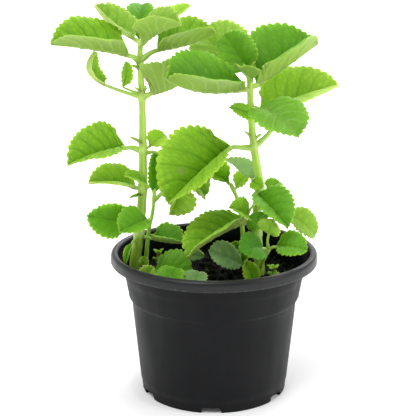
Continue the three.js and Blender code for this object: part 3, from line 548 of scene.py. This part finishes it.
def pot_paint(name, gloss, smoothest):
    """Matt black plastic with specks of dust, and a pale streaky band along the foot of the lip,
    partly scuffs and partly a painted highlight.
    """
    paint = Paint(name)
    level = paint.node("SeparateXYZ", Vector=paint.where).outputs["Z"]
    skin = paint.mix(paint.ranged(paint.noise(26, 4), 0.3, 0.7), "06070a", "0a0b0e")
    dust = paint.ranged(paint.noise(340, 5, 0.7), 0.62, 0.8)
    skin = paint.mix(paint.times(dust, 0.2), skin, "262422")
    # Pale streaks along the lip's foot: partly scuffs, partly a painted highlight.
    scuff_highlight_band = paint.times(paint.ranged(level, *SCUFF_HIGHLIGHT_FROM), paint.ranged(level, *SCUFF_HIGHLIGHT_TO))
    scuffs_and_highlight = paint.ranged(paint.noise(520, 4, 0.75, stretch=(1, 1, 0.25)), 0.5, 0.66)
    skin = paint.mix(paint.times(paint.times(scuff_highlight_band, scuffs_and_highlight), 0.35), skin, "6c6c6e")
    paint.set(Base_Color=skin, Specular_IOR_Level=gloss)
    paint.rough(paint.noise(90, 4, stretch=(1, 1, 0.25)), smoothest, smoothest + 0.14)
    grain = paint.maths("ADD", paint.noise(2200, 3), paint.times(paint.noise(300, 2), 0.4))
    paint.bump(grain, 0.12, 0.0003)
    return paint.material


def soil_paint(name, dark, light):
    paint = Paint(name)
    skin = paint.mix(paint.ranged(paint.noise(260, 5, 0.65), 0.35, 0.7), dark, light)
    skin = paint.mix(paint.ranged(paint.noise(900, 2), 0.6, 0.75, 0.0, 0.4), skin, "2c3215")
    paint.set(Base_Color=skin, Specular_IOR_Level=0.12)
    paint.rough(paint.noise(500, 2), 0.8, 0.98)
    paint.bump(paint.noise(1400, 5, 0.7), 0.8, 0.0008)
    return paint.material


# The inside is the same plastic as the outside, painted darker and greener: a painted shade.
def pot_inside_paint():
    paint = Paint("pot_inside_shaded")
    skin = paint.mix(paint.ranged(paint.noise(120, 4), 0.35, 0.7), "030503", "060905")
    paint.set(Base_Color=skin, Specular_IOR_Level=0.05)
    paint.rough(paint.noise(90, 3), 0.6, 0.75)
    paint.bump(paint.noise(1500, 3), 0.12, 0.0003)
    return paint.material


STEM_PAINT = stem_paint()
STALK_PAINT = stalk_paint()
POT_PAINT = pot_paint("pot_plastic", 0.18, 0.42)
LIP_PAINT = pot_paint("pot_lip", 0.42, 0.34)
POT_SHADED_INSIDE_PAINT = pot_inside_paint()
SOIL_PAINTS = [soil_paint("soil_dark", "060702", "0e1206"),
               soil_paint("soil_brown", "0f1307", "202711"),
               soil_paint("soil_fibre", "2d3010", "4f572b")]


# Meshes

def show(made):
    bpy.context.scene.collection.objects.link(made)


def piece(name, points, faces, materials, slots, colours=None, channels=()):
    """A smooth mesh object; points are in millimetres from the pot's axis."""
    mesh = bpy.data.meshes.new(name)
    mesh.from_pydata((np.asarray(points) * MM + AXIS).tolist(), [], [list(f) for f in faces])
    for material in materials:
        mesh.materials.append(material)
    mesh.polygons.foreach_set("material_index", np.asarray(slots, np.int32))
    mesh.polygons.foreach_set("use_smooth", np.ones(len(mesh.polygons), bool))
    for channel in channels:
        layer = mesh.attributes.new(channel, "FLOAT_COLOR", "POINT")
        layer.data.foreach_set("color", np.asarray(colours, np.float32).ravel())
    mesh.update()
    made = bpy.data.objects.new(name, mesh)
    show(made)
    return made


class Shell:
    """Collects the parts of one mesh."""

    def __init__(self):
        self.points, self.faces, self.slots, self.colours = [], [], [], []

    def add(self, points, faces, slots=0, colours=None):
        """Slots is one slot or a list; without colours the points are black."""
        start = len(self.points)
        self.points.extend(np.asarray(points).tolist())
        self.faces.extend([tuple(start + i for i in face) for face in faces])
        self.slots.extend([slots] * len(faces) if isinstance(slots, int) else slots)
        colours = np.zeros((len(points), 3)) if colours is None else np.asarray(colours)
        self.colours.extend(np.pad(colours, ((0, 0), (0, 4 - colours.shape[1])),
                                   constant_values=1).tolist())

    def build(self, name, materials, *channels):
        return piece(name, self.points, self.faces, materials, self.slots, self.colours, channels)


def stand_for(made, node):
    """The piece stands for a node, and rides with the part."""
    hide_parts(node)
    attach(made, "root")


def unit(v):
    v = np.asarray(v, float)
    return v / np.linalg.norm(v)


def smooth(value, low, high):
    t = np.clip((value - low) / (high - low), 0, 1)
    return t * t * (3 - 2 * t)


def spline(points, count):
    """Points evenly spaced along a centripetal curve through the given ones."""
    given = [np.asarray(p, float) for p in points]
    given = [2 * given[0] - given[1], *given, 2 * given[-1] - given[-2]]
    path = []
    for i in range(1, len(given) - 2):
        p = given[i - 1:i + 3]
        gap = [max(1e-6, np.linalg.norm(p[k + 1] - p[k]) ** 0.5) for k in range(3)]
        first = (p[1] - p[0]) / gap[0] - (p[2] - p[0]) / (gap[0] + gap[1]) + (p[2] - p[1]) / gap[1]
        last = (p[2] - p[1]) / gap[1] - (p[3] - p[1]) / (gap[1] + gap[2]) + (p[3] - p[2]) / gap[2]
        first, last = first * gap[1], last * gap[1]
        for t in np.linspace(0, 1, 60, endpoint=i == len(given) - 3):
            path.append(p[1] + first * t + (-3 * p[1] + 3 * p[2] - 2 * first - last) * t * t
                        + (2 * p[1] - 2 * p[2] + first + last) * t ** 3)
    path = np.array(path)
    run = np.concatenate([[0], np.cumsum(np.linalg.norm(np.diff(path, axis=0), axis=1))])
    wanted = np.linspace(0, run[-1], count)
    return np.stack([np.interp(wanted, run, path[:, k]) for k in range(3)], 1)


def tube(path, radius, sides, ridges=0.0):
    """Closed tube: points, faces and the share along and angle of each point."""
    ahead = np.gradient(path, axis=0)
    ahead /= np.linalg.norm(ahead, axis=1)[:, None]
    side = unit(np.cross(ahead[0], (0.31, 0.17, 0.05) if abs(ahead[0][2]) > 0.9 else (0, 0, 1)))
    points, share, turn = [], [], []
    for i, centre in enumerate(path):
        side = unit(side - ahead[i] * side.dot(ahead[i]))
        other = np.cross(ahead[i], side)
        angle = np.arange(sides) / sides * 2 * math.pi
        r = radius[i] * (1 + ridges * np.cos(4 * angle))
        points.extend(centre + np.outer(r * np.cos(angle), side)
                      + np.outer(r * np.sin(angle), other))
        share.extend([i / (len(path) - 1)] * sides)
        turn.extend(angle)
    faces = []
    for i in range(len(path) - 1):
        for k in range(sides):
            a, b = i * sides + k, i * sides + (k + 1) % sides
            faces.append((a, b, b + sides, a + sides))
    faces.append(tuple(range(sides))[::-1])
    faces.append(tuple((len(path) - 1) * sides + k for k in range(sides)))
    return np.array(points), faces, np.array(share), np.array(turn)


def outline(turn, belly, taper):
    """Share along and share out of one half of a flat blade."""
    near = (1 - turn) ** BASE_REACH
    power = (BLUNTNESS + taper * turn) * (1 - near) + BASE_WEDGE * near
    along = ((1 - np.cos(math.pi * turn)) / 2) ** (math.log(belly) / math.log(0.5))
    out = np.maximum(0, np.sin(math.pi * turn)) ** power
    return along, out


def margin(spec, length, half, start, rows, random):
    """Toothed margin of one half in the flat, one point for each row, and its whole length."""
    turn = np.linspace(0, 1, OUTLINE_STEPS)
    along, out = outline(turn, spec["belly"], spec["taper"])
    x = along * length
    y = np.maximum(start * (1 - along) + TIP_HALF * along, half * out)
    run = np.concatenate([[0], np.cumsum(np.hypot(np.diff(x), np.diff(y)))])
    share = np.linspace(0, 1, rows + 1)
    nx, ny = -np.gradient(y), np.gradient(x)
    size = np.hypot(nx, ny)
    at = share * run[-1]
    px, py = np.interp(at, run, x), np.interp(at, run, y)
    ox, oy = np.interp(at, run, nx / size), np.interp(at, run, ny / size)
    teeth = round(spec["teeth"] * TOOTH_FACTOR)
    depth = min(TOOTH_SHARE * half + TOOTH_LEAST, TOOTH_MOST * half)
    phase = (share - ENTIRE_SHARE) / (1 - ENTIRE_SHARE) * (teeth + LAST_TOOTH)
    drift = TOOTH_DRIFT * np.sin(share * 17 + random.uniform(0, 6))
    phase = phase + drift * smooth(phase, 0, 1) * smooth(teeth - phase, 0, 1)
    tooth = np.clip(np.floor(phase), 0, teeth).astype(int)
    part = np.clip(phase - tooth, 0, 1)
    crown = np.sin(math.pi * part ** TOOTH_LEAN) ** TOOTH_ROUNDNESS
    last_crown = np.sin(np.clip(part / LAST_TOOTH, 0, 1) * math.pi / 2) ** 0.6
    crown = np.where(tooth >= teeth, last_crown, crown)
    deep = depth * random.uniform(*TOOTH_VARIETY, teeth + 1)[tooth]
    offset = np.where(phase < 0, -deep * smooth(share, 0, ENTIRE_SHARE), -deep * (1 - crown))
    return px + ox * offset, np.maximum(0.1, py + oy * offset), run[-1]


def blade(shell, spec, random, fine=1.0):
    """Adds the closed blade: upper face in slot 0, under face in slot 1."""
    start, tip = np.array(spec["base"], float), np.array(spec["tip"], float)
    length = np.linalg.norm(tip - start)
    along = (tip - start) / length
    up = np.array(spec["face"], float)
    up = unit(up - along * up.dot(along))
    across = np.cross(along, up)
    wide = spec["wide"]
    half = wide / 2
    thick = THICK_BLADE if wide >= BOWED_WIDTH else THIN_BLADE
    rows = int((spec["teeth"] * TOOTH_FACTOR * ROWS_PER_TOOTH + ROWS_AT_BASE) * fine)
    columns = int(np.clip(wide / COLUMN_WIDTH, *COLUMNS) * fine)
    across_share = 1 - (1 - np.linspace(0, 1, columns + 1)) ** CROWDING
    share = np.linspace(0, 1, rows + 1)
    rib = length * share ** CROWDING
    width = 2 * columns + 1
    x, y, veins, quilt, wave, fine_veins = np.zeros((6, rows + 1, width))
    v = np.concatenate([-across_share[:0:-1], across_share])
    pairs = VEIN_PAIRS + sum(wide >= limit for limit in MORE_PAIRS)
    rib_size = spec["stalk"]
    for side in (-1, 1):
        mx, my, run = margin(spec, length, half, thick, rows, random)
        pick = slice(columns, None) if side > 0 else slice(columns, None, -1)
        s, w = share[:, None], across_share[None, :]
        x[:, pick] = rib[:, None] * (1 - w) + mx[:, None] * w
        y[:, pick] = side * my[:, None] * w
        gap = length * (1 - w) + run * w
        field, near = 0.0, np.inf
        for k in range(pairs):
            place = VEIN_START + VEIN_SPAN * ((k + 0.3) / pairs) ** 1.15
            place = place + random.uniform(-VEIN_JITTER, VEIN_JITTER) + VEIN_SWEEP * w ** 1.2
            place = place + VEIN_WAVER * np.sin(9 * w + random.uniform(0, 6))
            distance = np.abs(s - place) * gap
            near = np.minimum(near, distance)
            size = (VEIN_SIZE[0] + VEIN_SIZE[1] * min(1, wide / VEIN_GROWTH)) * (1 - VEIN_TAPER * w)
            vein = np.exp(-(distance / size) ** 2) * (1 - smooth(w, VEIN_END, 1))
            field = np.maximum(field, vein)
        veins[:, pick] = field
        quilt[:, pick] = smooth(near, *QUILT_REACH)
        phase = random.uniform(0, 6.28, 3)
        ripple = np.sin(s * TURN * RIPPLES[0] + phase[0])
        ripple = ripple + 0.6 * np.sin(s * TURN * RIPPLES[1] + phase[1])
        wave[:, pick] = ripple * w ** 2 * RIPPLE * wide
    cell = CELLS[wide >= WIDE_BLADE]
    drift = random.uniform(0, 100)
    for r in range(rows + 1):
        for c in range(width):
            near = noise.voronoi((x[r, c] / cell + drift, y[r, c] / cell, drift * 0.37))[0]
            fine_veins[r, c] = near[1] - near[0]
    cells = smooth(fine_veins, 0.0, CELL_EDGE)
    midrib = np.exp(-(y / (MIDRIB * rib_size)) ** 2) * (1 - MIDRIB_TAPER * x / length)

    reach_out = np.abs(y) / half
    fold = math.radians(spec["fold"])
    swell = BOW_SHARE * wide * 4 * reach_out * (1 - reach_out)
    tight, open_ = FOLD_ROUNDING
    round_fold = tight + open_ * wide * np.clip(x / length, 0, 1) ** 1.5
    soft = np.sqrt(y ** 2 + round_fold ** 2) - round_fold
    reach = np.abs(y) * math.cos(fold) - swell * math.sin(fold)
    lift = soft * math.sin(fold) + swell * math.cos(fold) + wave
    lift = lift + spec["arch"] * 4 * (x / length) * (1 - x / length)
    middle = (start + x[..., None] * along + (np.sign(y) * reach)[..., None] * across
              + lift[..., None] * up)
    normal = np.cross(np.gradient(middle, axis=1), np.gradient(middle, axis=0))
    normal /= np.maximum(np.linalg.norm(normal, axis=2), 1e-9)[..., None]
    edge = np.sqrt(np.clip(1 - np.abs(v) ** EDGE_POWER, 0, 1))[None, :] * np.ones((rows + 1, 1))
    edge[0], edge[-1] = 0, 0
    body = edge * thick / 2
    relief = min(1.0, wide / WIDE_BLADE)
    swollen, pebbled, sunk, channel = UPPER_RELIEF
    above = body + edge * relief * (swollen * quilt + pebbled * cells - sunk * veins
                                    - channel * midrib)
    swollen, pebbled, raised = UNDER_RELIEF
    below = body + edge * (MIDRIB * rib_size * midrib
                           + relief * (raised * veins - swollen * quilt - pebbled * cells))
    upper = middle + normal * above[..., None]
    under = middle - normal * below[..., None]

    count = (rows + 1) * width
    top = np.arange(count).reshape(rows + 1, width)
    low = top.copy()
    low[1:-1, 1:-1] = count + np.arange((rows - 1) * (width - 2)).reshape(rows - 1, width - 2)
    points = np.concatenate([upper.reshape(-1, 3), under[1:-1, 1:-1].reshape(-1, 3)])
    shown = np.clip(wide / WIDE_BLADE, 0.4, 1) * veins
    strength = np.clip(np.maximum(shown, midrib) + 0.35 * (1 - cells) * (1 - veins), 0, 1)
    sound = np.ones_like(x)
    if spec["name"] in BLEMISHES:
        place, out, size = BLEMISHES[spec["name"]]
        distance = np.hypot(x - place * length, y - out)
        sound = 1 - np.exp(-(distance / size) ** 2)
    tone = np.stack([strength, np.abs(v)[None, :] * np.ones_like(x), quilt * cells, sound], 2)
    tones = np.concatenate([tone.reshape(-1, 4), tone[1:-1, 1:-1].reshape(-1, 4)])
    faces = []
    for grid, order in ((top, (0, 1, 2, 3)), (low, (0, 3, 2, 1))):
        corners = grid[:-1, :-1], grid[:-1, 1:], grid[1:, 1:], grid[1:, :-1]
        faces += zip(*[corners[i].ravel() for i in order])
    side_faces = len(faces) // 2
    shell.add(points, faces, [0] * side_faces + [1] * side_faces, tones)
    return start, along, up, length


def leaf_piece(spec, random):
    """Blade with a stalk that runs on under it as the midrib."""
    shell = Shell()
    start, along, up, length = blade(shell, spec, random)
    thick = spec["stalk"]
    root = np.array(spec["root"], float)
    below = -up * STALK_DROP * thick
    reach = np.linalg.norm(start - root)
    bend = spec["bend"]
    if bend is None:
        tangent = start - along * STALK_BEND * reach + below
        straight = root + (start - root) * (1 - STALK_BEND)
        bend = tangent + (straight - tangent) * STALK_STRAIGHT
    rise = spec["arch"] * 4 * STALK_RUN_ON * (1 - STALK_RUN_ON)
    end = start + along * STALK_RUN_ON * length + up * rise + below
    path = spline([root, bend, start + below, end], max(10, int(reach / 1.2)))
    share = np.linspace(0, 1, len(path))
    radius = thick * (STALK_TAPER[0] + (STALK_TAPER[1] - STALK_TAPER[0]) * share)
    collar = np.exp(-((share * reach - COLLAR_PLACE) / COLLAR_REACH) ** 2)
    radius = radius * (1 + STALK_COLLAR * collar)
    radius[-1] *= STALK_END
    points, faces, along_share, turn = tube(path, radius, STALK_SIDES)
    ridge = 0.5 + 0.5 * np.cos(turn * 2 + 0.6)
    tones = np.stack([ridge, 0 * ridge, along_share], 1)
    shell.add(points, faces, 2, tones)
    above = beneath = spec["green"]
    for pair, names in SHADES.items():
        if spec["name"].removesuffix("_leaf") in names.split():
            above, beneath = pair
    paints = [UPPER_PAINTS[above], UNDER_PAINTS[beneath], STALK_PAINT]
    stand_for(shell.build(spec["name"], paints, "leaf"), spec["name"])


def small_leaf(root, tip, face, wide, fold):
    return leaf("small", "fresh", root, root, tip, face, wide, fold, SMALL_ARCH, SMALL_TEETH)


def stem_piece(name, random):
    """Tapered stem, swollen at its nodes, with its axils' tiny leaves."""
    points, (thick, thin), nodes = STEMS[name]
    length = sum(map(math.dist, points, points[1:]))
    path = spline(points, int(length / STEM_STEP))
    share = np.linspace(0, 1, len(path))
    level = path[:, 2]
    radius = thick + (thin - thick) * share
    ring = np.zeros(len(path))
    for node in nodes:
        swell = NODE_SWELL * min(1, thick / 3.5) * np.exp(-((level - node) / NODE_REACH) ** 2)
        radius = radius + swell
        ring = np.maximum(ring, np.exp(-((level - node) / RING_REACH) ** 2))
        radius = radius - NODE_GROOVE * np.exp(-((level - node) / GROOVE_REACH) ** 2)
    wobble = sum(np.sin(level * k + random.uniform(0, 6)) for k in STEM_WAVES)
    radius = radius * (1 + STEM_WOBBLE * wobble)
    radius[-2:] *= STEM_TIP
    body, faces, along_share, turn = tube(path, radius, STEM_SIDES, STEM_RIDGES)
    ridge = np.clip(0.5 + 0.5 * np.cos(4 * turn), 0, 1) ** 2
    tones = np.stack([ridge, np.repeat(ring, STEM_SIDES), along_share ** 2], 1)
    shell = Shell()
    shell.add(body, faces, 0, tones)
    for stem, root, tip, wide in BUDS:
        if stem == name:
            lean = np.array(tip, float) - np.array(root, float)
            face = (-lean[0], -lean[1] - 1.5, abs(lean[2]) + 3)
            for second in (0, 1):
                end = np.array(root) + lean * (1 - 0.25 * second) + (second * 1.2, second * 0.8, 0)
                first = len(shell.slots)
                blade(shell, small_leaf(root, tuple(end), face, wide * 1.15, BUD_FOLD), random,
                      BUD_FINENESS)
                for i in range(first, len(shell.slots)):
                    shell.slots[i] += 1
    stand_for(shell.build(name, [STEM_PAINT, *FRESH_PAINTS], "stem", "leaf"), name)


def clump_piece(name, random):
    """Seedling: a thin stem with tiers of tiny leaves."""
    root, crown, count, size, steep = CLUMPS[name]
    shell = Shell()
    bend = ((root[0] + crown[0]) / 2 + 0.4, root[1], (root[2] + crown[2]) / 2)
    path = spline([root, bend, crown], CLUMP_STEPS)
    body, faces, share, _ = tube(path, np.full(len(path), CLUMP_STALK), STALK_SIDES)
    shell.add(body, faces, 2, np.stack([0 * share, 0 * share, share], 1))
    for tier, drop in enumerate(CLUMP_DROPS):
        level = crown[2] - drop
        for i in range(count):
            angle = (i + tier / 2) / count * 2 * math.pi + CLUMP_TURN
            lift = steep * (1 if i % 2 else CLUMP_STEEPER)
            away = unit((math.cos(angle), math.sin(angle), lift))
            tip = tuple(np.array((crown[0], crown[1], level), float) + away * size)
            face = (-math.cos(angle) * lift, -math.sin(angle) * lift, 1)
            start = (crown[0], crown[1], level - 1)
            spec = small_leaf(start, tip, face, size * CLUMP_WIDTH, CLUMP_FOLD)
            blade(shell, spec, random, CLUMP_FINENESS)
    stand_for(shell.build(name, [*FRESH_PAINTS, STALK_PAINT], "leaf"), name)


def turned(profile, segments):
    """Turned body whose profile starts and ends on the axis: points, faces, row of each face."""
    points, rings, faces, rows = [], [], [], []
    for radius, level in profile:
        first = len(points)
        if radius == 0:
            points.append((0, 0, level))
        else:
            for k in range(segments):
                angle = 2 * math.pi * k / segments
                points.append((radius * math.cos(angle), radius * math.sin(angle), level))
        rings.append(range(first, len(points)))
    for row, (low, high) in enumerate(zip(rings, rings[1:])):
        rows.extend([row] * segments)
        for k in range(segments):
            n = (k + 1) % segments
            if len(low) == 1:
                faces.append((low[0], high[n], high[k]))
            elif len(high) == 1:
                faces.append((low[k], low[n], high[0]))
            else:
                faces.append((low[k], low[n], high[n], high[k]))
    return points, faces, rows


def cut(target, cutter):
    """Cuts one closed mesh out of another and drops the cutter."""
    modifier = target.modifiers.new("cut", "BOOLEAN")
    modifier.operation = "DIFFERENCE"
    modifier.solver = "EXACT"
    modifier.object = cutter
    evaluated = target.evaluated_get(bpy.context.evaluated_depsgraph_get())
    mesh = bpy.data.meshes.new_from_object(evaluated)
    target.modifiers.clear()
    old = target.data
    target.data = mesh
    bpy.data.meshes.remove(old)
    bpy.data.objects.remove(cutter)


def prism(corners, back, front, turn):
    """Points and faces of a radial prism with its corners given across and up."""
    out = np.array([math.cos(turn), math.sin(turn), 0])
    side = np.array([-out[1], out[0], 0])
    points = [out * r + side * a + (0, 0, b) for r in (back, front) for a, b in corners]
    n = len(corners)
    faces = [tuple(range(n)), tuple(range(2 * n - 1, n - 1, -1))]
    faces += [((i + 1) % n, i, i + n, (i + 1) % n + n) for i in range(n)]
    return points, faces


def pot_piece():
    """Moulded pot with its foot notches and drain holes cut out."""
    points, faces, rows = turned(POT_PROFILE, POT_SEGMENTS)
    slots = [(row >= POT_LIP_ROW) + (row >= POT_INSIDE_ROW) for row in rows]
    pot = piece("pot", points, faces, [POT_PAINT, LIP_PAINT, POT_SHADED_INSIDE_PAINT], slots)
    cutter = Shell()
    wide, high = NOTCH_WIDTH / 2, NOTCH_HEIGHT
    outward, inward, drop = NOTCH_SLOPE
    half = [(wide + NOTCH_SPLAY, -1), (wide + outward, high - drop), (wide - inward, high)]
    mirrored = [(-across, up) for across, up in half]
    corners = [mirrored[0], *half, *mirrored[:0:-1]]
    for i in range(NOTCH_COUNT):
        turn = math.radians(NOTCH_TURN - 90 + 360 * i / NOTCH_COUNT)
        points, faces = prism(corners, FOOT_RADIUS - NOTCH_REACH[0], FOOT_RADIUS + NOTCH_REACH[1],
                              turn)
        cutter.add(points, faces)
        turn = math.radians(NOTCH_TURN - 60 + 360 * i / NOTCH_COUNT)
        middle = (DRAIN_CIRCLE * math.cos(turn), DRAIN_CIRCLE * math.sin(turn))
        path = np.array([(*middle, z) for z in DRAIN_LEVELS])
        points, faces, _, _ = tube(path, np.full(len(path), DRAIN_RADIUS), DRAIN_SIDES)
        cutter.add(points, faces)
    tool = cutter.build("cutter", [POT_PAINT])
    shell = bmesh.new()
    shell.from_mesh(tool.data)
    bmesh.ops.recalc_face_normals(shell, faces=shell.faces)
    shell.to_mesh(tool.data)
    shell.free()
    cut(pot, tool)
    pot.data.set_sharp_from_angle(angle=math.radians(SHARP_ANGLE))
    stand_for(pot, "pot")


def soil_level(x, y):
    """Level of the lumpy top, calmer at the wall."""
    share = math.hypot(x, y) / SOIL_RADIUS
    dome = SOIL_LEVEL - 1 + (SOIL_CROWN + 1) * (1 - share ** 2)
    lump = sum(high * noise.noise((x / size, y / size, layer)) for high, size, layer in SOIL_LUMPS)
    return dome + lump * min(1, 8 * (1 - share) + 0.4)


def ball():
    """Points and faces of a ball of radius 1, from the top down."""
    tilts = [math.pi * ring / BALL_RINGS for ring in range(1, BALL_RINGS)]
    profile = [(0, 1), *[(math.sin(tilt), math.cos(tilt)) for tilt in tilts], (0, -1)]
    points, faces, _ = turned(profile, BALL_SIDES)
    return np.array(points), [(face[0], *face[:0:-1]) for face in faces]


def soil_piece(random):
    """Lumpy top on a plug that fills the pot, with crumbs lying on it."""
    rings = [(SOIL_RADIUS * (1 - ring / SOIL_RINGS), 0) for ring in range(1, SOIL_RINGS + 1)]
    points, faces, _ = turned(SOIL_WALL + rings, SOIL_SEGMENTS)
    first = 1 + (len(SOIL_WALL) - 1) * SOIL_SEGMENTS
    points[first:-1] = [(x, y, soil_level(x, y)) for x, y, _ in points[first:-1]]
    points[-1] = (0, 0, SOIL_LEVEL + SOIL_CROWN)
    shell = Shell()
    shell.add(points, faces)
    crumb, crumb_faces = ball()
    for _ in range(CRUMBS):
        size = CRUMB_SIZES[0] + CRUMB_SIZES[1] * random.random() ** 2.5
        radius = CRUMB_CIRCLE * math.sqrt(random.random())
        angle = random.uniform(0, 2 * math.pi)
        x, y = radius * math.cos(angle), radius * math.sin(angle)
        level = SOIL_LEVEL - 0.5 + (SOIL_CROWN + 1) * (1 - (radius / SOIL_RADIUS) ** 2)
        shape = crumb * (1 + CRUMB_ROUGHNESS * random.uniform(-1, 1, (len(crumb), 1)))
        shape = shape * random.uniform(0.6, 1.2, 3) * size
        spin = random.uniform(0, 2 * math.pi)
        spun = shape.copy()
        spun[:, 0] = shape[:, 0] * math.cos(spin) - shape[:, 2] * math.sin(spin)
        spun[:, 2] = shape[:, 0] * math.sin(spin) + shape[:, 2] * math.cos(spin)
        kind = 0 if random.random() < DARK_CRUMBS else 1 if random.random() < BROWN_CRUMBS else 2
        shell.add(spun + (x, y, level + 0.4 * size), crumb_faces, kind)
    stand_for(shell.build("soil", SOIL_PAINTS), "soil")


draws = np.random.default_rng(SEED)
pot_piece()
soil_piece(draws)
for stem_name in STEMS:
    stem_piece(stem_name, draws)
for clump_name in CLUMPS:
    clump_piece(clump_name, draws)
for leaf_spec in LEAVES:
    leaf_piece(leaf_spec, draws)


# Floor, light and camera

# The white surroundings are dimmer on the viewer's side: strength for a direction's Y
WORLD_STRENGTH = {"From Min": -0.75, "From Max": 0.1, "To Min": 0.45, "To Max": 0.85}
# The floor's glow at two distances from its middle, fading near the pot as a painted shadow, and
# its share under the pot's foot, a painted shadow there
FLOOR_SIZE = 30
FLOOR_GLOW = (0.1, 0.9)
GLOW_REACH = (0.06, 1.0)
FOOT_SHADE_REACH = (0.0505, 0.055)
FOOT_SHADE_GLOW = (0.3, 1.0)
# Lights: name, place, size, power
LIGHT_AIM = Vector(AXIS + (0, 0, 0.16))
LIGHTS = [
    ("key", (-0.5, -0.9, 1.6), (0.9, 0.9), 16),
    ("fill", (1.3, -0.5, 0.9), (0.7, 0.7), 5),
    ("back", (0.4, 1.2, 1.1), (1.2, 0.8), 10),
]


def floor_piece():
    """Pale paper that glows a little, so that it stays white as in a studio; the glow fades near
    the pot and drops under its foot, a painted shadow.
    """
    paint = Paint("floor_paper")
    tone = paint.mix(paint.ranged(paint.noise(3, 2), 0.3, 0.7), (0.93, 0.93, 0.93, 1),
                     (0.95, 0.95, 0.95, 1))
    paint.set(Base_Color=tone, Roughness=0.9, Specular_IOR_Level=0.1)
    away = paint.node("VectorMath", Vector=paint.where)
    away.operation = "LENGTH"
    paint.set(Emission_Color=(1, 1, 1, 1))
    # Painted shadow: less glow near the pot and under its foot.
    glow = paint.ranged(away.outputs["Value"], *GLOW_REACH, *FLOOR_GLOW)
    foot = paint.ranged(away.outputs["Value"], *FOOT_SHADE_REACH, *FOOT_SHADE_GLOW)
    paint.set(Emission_Strength=paint.times(glow, foot))
    mesh = bpy.data.meshes.new("floor")
    corners = [(x * FLOOR_SIZE, y * FLOOR_SIZE, 0)
               for x, y in ((-1, -1), (1, -1), (1, 1), (-1, 1))]
    mesh.from_pydata(corners, [], [(0, 1, 2, 3)])
    mesh.materials.append(paint.material)
    made = bpy.data.objects.new("floor", mesh)
    show(made)


def area_light(name, place, size, power):
    data = bpy.data.lights.new(name, "AREA")
    data.shape = "RECTANGLE"
    data.size, data.size_y = size
    data.energy = power
    made = bpy.data.objects.new(name, data)
    made.location = place
    made.rotation_euler = (LIGHT_AIM - Vector(place)).to_track_quat("-Z", "Y").to_euler()
    show(made)


floor_piece()
world = bpy.data.worlds.new("studio")
bpy.context.scene.world = world
world.use_nodes = True
sky = world.node_tree
facing = sky.nodes.new("ShaderNodeTexCoord")
split = sky.nodes.new("ShaderNodeSeparateXYZ")
sky.links.new(facing.outputs["Generated"], split.inputs["Vector"])
front = sky.nodes.new("ShaderNodeMapRange")
for end, value in WORLD_STRENGTH.items():
    front.inputs[end].default_value = value
sky.links.new(split.outputs["Y"], front.inputs["Value"])
sky.links.new(front.outputs["Result"], sky.nodes["Background"].inputs["Strength"])
sky.nodes["Background"].inputs["Color"].default_value = (1.0, 1.0, 1.0, 1)
for light in LIGHTS:
    area_light(*light)

# The photograph's camera, found from the pot's rim and foot: place in millimetres from the pot's
# axis, degrees down and to the side, focal length in pixels of a picture 416 wide
CAMERA_PLACE = (0, -800, 352.2)
CAMERA_PITCH = 15.123
CAMERA_YAW = 0.314
FOCAL_PIXELS = 1151.1
PICTURE_WIDTH = 416
SENSOR_WIDTH = 36
camera = bpy.data.objects.new("camera", bpy.data.cameras.new("camera"))
camera.data.lens = FOCAL_PIXELS / PICTURE_WIDTH * SENSOR_WIDTH
camera.data.sensor_width = SENSOR_WIDTH
camera.data.clip_end = 30
camera.location = Vector(np.array(CAMERA_PLACE) * MM + AXIS)
camera.rotation_euler = (math.radians(90 - CAMERA_PITCH), 0, math.radians(CAMERA_YAW))
show(camera)
bpy.context.scene.camera = camera

bpy.context.scene.view_settings.view_transform = "Standard"
